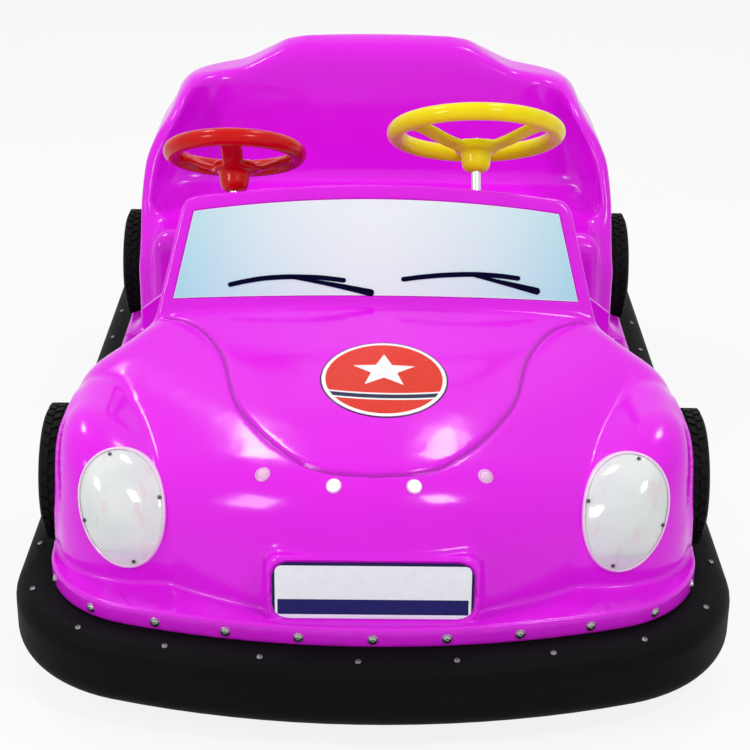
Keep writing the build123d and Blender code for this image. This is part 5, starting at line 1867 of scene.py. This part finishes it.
class BUMPERCAR_OT_running_gear(bpy.types.Operator):
    """Finishes the chassis, the drive unit and the running wheels, and sets their bolts"""

    bl_idname = "bumper_car.running_gear"
    bl_label = "Running Gear"

    def execute(self, context):
        coat_nodes(
            paint("chassis_paint", (0.022, 0.022, 0.025)),
            "chassis_frame", "chassis_hoop", "drive_carrier", "rear_axle", "drive_fork",
        )
        coat_nodes(paint("motor_paint", (0.16, 0.16, 0.18), 0.34), "drive_motor")
        turned = metal("turned_hub_steel", (0.55, 0.55, 0.57), 0.24, (1, 8, 8))
        coat_nodes(turned, "drive_hub", "rear_hub_left", "rear_hub_right")
        steel = metal("hub_bolt_steel", (0.50, 0.50, 0.52), 0.26)
        for node, joint in (
            ("drive_tyre", "drive_wheel_roll"),
            ("rear_tyre_left", "rear_wheel_left_roll"),
            ("rear_tyre_right", "rear_wheel_right_roll"),
        ):
            centre = JOINTS[joint]["pos_m"]
            low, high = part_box(node)
            coat_nodes(tyre_rubber(f"{node}_rubber", centre[1], centre[2], (high.z - low.z) / 2, 44.0), node)
        for side_name, side in SIDES:
            node = f"rear_hub_{side_name}"
            centre = JOINTS[f"rear_wheel_{side_name}_roll"]["pos_m"]
            bolt_ring(
                f"rear_hub_bolts_{side_name}", node, centre, (side, 0, 0), HUB_BOLT_CIRCLE, HUB_BOLTS,
                HUB_BOLT_RADIUS, steel, f"rear_wheel_{side_name}",
            )
        return {"FINISHED"}


# Stage

# Lamps: place, the point they are turned to, size and power
LAMPS = {
    "key_lamp": ((1.6, -2.6, 3.2), (0, -0.3, 0.3), 0.7, 42),
    "fill_lamp": ((-2.4, -2.2, 2.2), (0, -0.3, 0.3), 0.8, 30),
    "top_lamp_left": ((1.0, 1.0, 3.6), (0, 0.1, 0.4), 0.5, 22),
    "top_lamp_right": ((-1.7, 1.0, 3.5), (0, 0.1, 0.4), 0.5, 25),
}
FLOOR_HALF = 14.0
FLOOR_PLAIN = 0.86
WORLD_LIGHT = 0.44
WORLD_PLAIN = 0.56
SENSOR_WIDTH = 36.0
FRAME_PIXELS = 750
FOCAL_PIXELS = 1801.32
CAMERA_ROLL = math.radians(0.5)


def plainly_seen(tree):
    """1 on camera, glossy and transmission rays, which see the plain backdrop."""
    path = tree.nodes.new("ShaderNodeLightPath")
    rays = [Signal(tree, path.outputs[f"Is {kind} Ray"]) for kind in ("Camera", "Glossy", "Transmission")]
    return rays[0].most(rays[1]).most(rays[2])


def lamp(name, place, aim, size, power):
    """A soft square lamp at a place, turned to a point."""
    light = bpy.data.lights.new(name, "AREA")
    light.shape = "SQUARE"
    light.size = size
    light.energy = power
    holder = bpy.data.objects.new(name, light)
    bpy.context.collection.objects.link(holder)
    holder.location = place
    holder.rotation_euler = (Vector(aim) - Vector(place)).to_track_quat("-Z", "Y").to_euler()


class BUMPERCAR_OT_stage(bpy.types.Operator):
    """Sets the floor, the soft lamps, the pale world and the camera"""

    bl_idname = "bumper_car.stage"
    bl_label = "Stage"

    def execute(self, context):
        scene = context.scene
        settings = scene.bumper_stage
        floor = Finish("studio_floor")
        grain = floor.noise(3.0, 2.0)
        tone = floor.mix(grain, shade(settings.floor_colour, 0.99), rgba(settings.floor_colour))
        matt = floor.node("ShaderNodeBsdfPrincipled", (), {"Base Color": tone, "Roughness": 0.9}, "BSDF")
        glow = floor.node("ShaderNodeEmission", (), {"Color": (1, 1, 1, 1), "Strength": 1.0})
        seen = plainly_seen(floor.tree) * FLOOR_PLAIN
        both = floor.node("ShaderNodeMixShader", (), {"Fac": seen, "Shader": matt, "Shader_001": glow})
        floor.node("ShaderNodeOutputMaterial", (), {"Surface": both})
        mesh = bpy.data.meshes.new("studio_floor")
        half = FLOOR_HALF
        corners = [(-half, -half, 0), (half, -half, 0), (half, half, 0), (-half, half, 0)]
        mesh.from_pydata(corners, [], [(0, 1, 2, 3)])
        mesh.materials.append(floor.material)
        ground = bpy.data.objects.new("studio_floor", mesh)
        context.collection.objects.link(ground)

        world = bpy.data.worlds.new("pale_world")
        scene.world = world
        world.use_nodes = True
        tree = world.node_tree
        back = next(node for node in tree.nodes if node.type == "BACKGROUND")
        back.inputs["Color"].default_value = (1, 1, 1, 1)
        strength = plainly_seen(tree) * WORLD_PLAIN + WORLD_LIGHT
        tree.links.new(strength.socket, back.inputs["Strength"])

        for name, values in LAMPS.items():
            lamp(name, *values)

        view = bpy.data.cameras.new("front_camera")
        view.sensor_width = SENSOR_WIDTH
        view.lens = FOCAL_PIXELS / FRAME_PIXELS * SENSOR_WIDTH
        camera = bpy.data.objects.new("front_camera", view)
        context.collection.objects.link(camera)
        place = Matrix.Translation((0, -settings.camera_distance, settings.camera_height))
        dip = Matrix.Rotation(math.pi / 2 - settings.camera_dip, 4, "X")
        camera.matrix_world = place @ dip @ Matrix.Rotation(CAMERA_ROLL, 4, "Z")
        scene.camera = camera
        scene.view_settings.view_transform = "Standard"
        return {"FINISHED"}


PIECES = (
    BUMPERCAR_OT_shell,
    BUMPERCAR_OT_windscreen,
    BUMPERCAR_OT_headlamps,
    BUMPERCAR_OT_nose_lamps,
    BUMPERCAR_OT_decals,
    BUMPERCAR_OT_trim,
    BUMPERCAR_OT_dummy_wheels,
    BUMPERCAR_OT_steering,
    BUMPERCAR_OT_cockpit,
    BUMPERCAR_OT_running_gear,
    BUMPERCAR_OT_stage,
)
GROUPS = {
    "bumper_shell": ShellSettings,
    "bumper_screen": ScreenSettings,
    "bumper_lamps": LampSettings,
    "bumper_trim": TrimSettings,
    "bumper_wheels": WheelSettings,
    "bumper_stage": StageSettings,
}


class BUMPERCAR_PT_pieces(bpy.types.Panel):
    """Lists the car's pieces and their settings"""

    bl_idname = "BUMPERCAR_PT_pieces"
    bl_label = "Bumper Car"
    bl_space_type = "VIEW_3D"
    bl_region_type = "UI"
    bl_category = "Bumper Car"

    def draw(self, context):
        for name, group in GROUPS.items():
            box = self.layout.box()
            box.label(text=group.__doc__)
            for key in group.__annotations__:
                box.prop(getattr(context.scene, name), key)
        for piece in PIECES:
            self.layout.operator(piece.bl_idname)


def register():
    for group in GROUPS.values():
        bpy.utils.register_class(group)
    for kind in (*PIECES, BUMPERCAR_PT_pieces):
        bpy.utils.register_class(kind)
    for name, group in GROUPS.items():
        setattr(bpy.types.Scene, name, bpy.props.PointerProperty(type=group))


def unregister():
    for name in GROUPS:
        delattr(bpy.types.Scene, name)
    for kind in (BUMPERCAR_PT_pieces, *reversed(PIECES)):
        bpy.utils.unregister_class(kind)
    for group in GROUPS.values():
        bpy.utils.unregister_class(group)


def main():
    register()
    for piece in PIECES:
        group, action = piece.bl_idname.split(".")
        getattr(getattr(bpy.ops, group), action)()


if __name__ == "__main__":
    main()
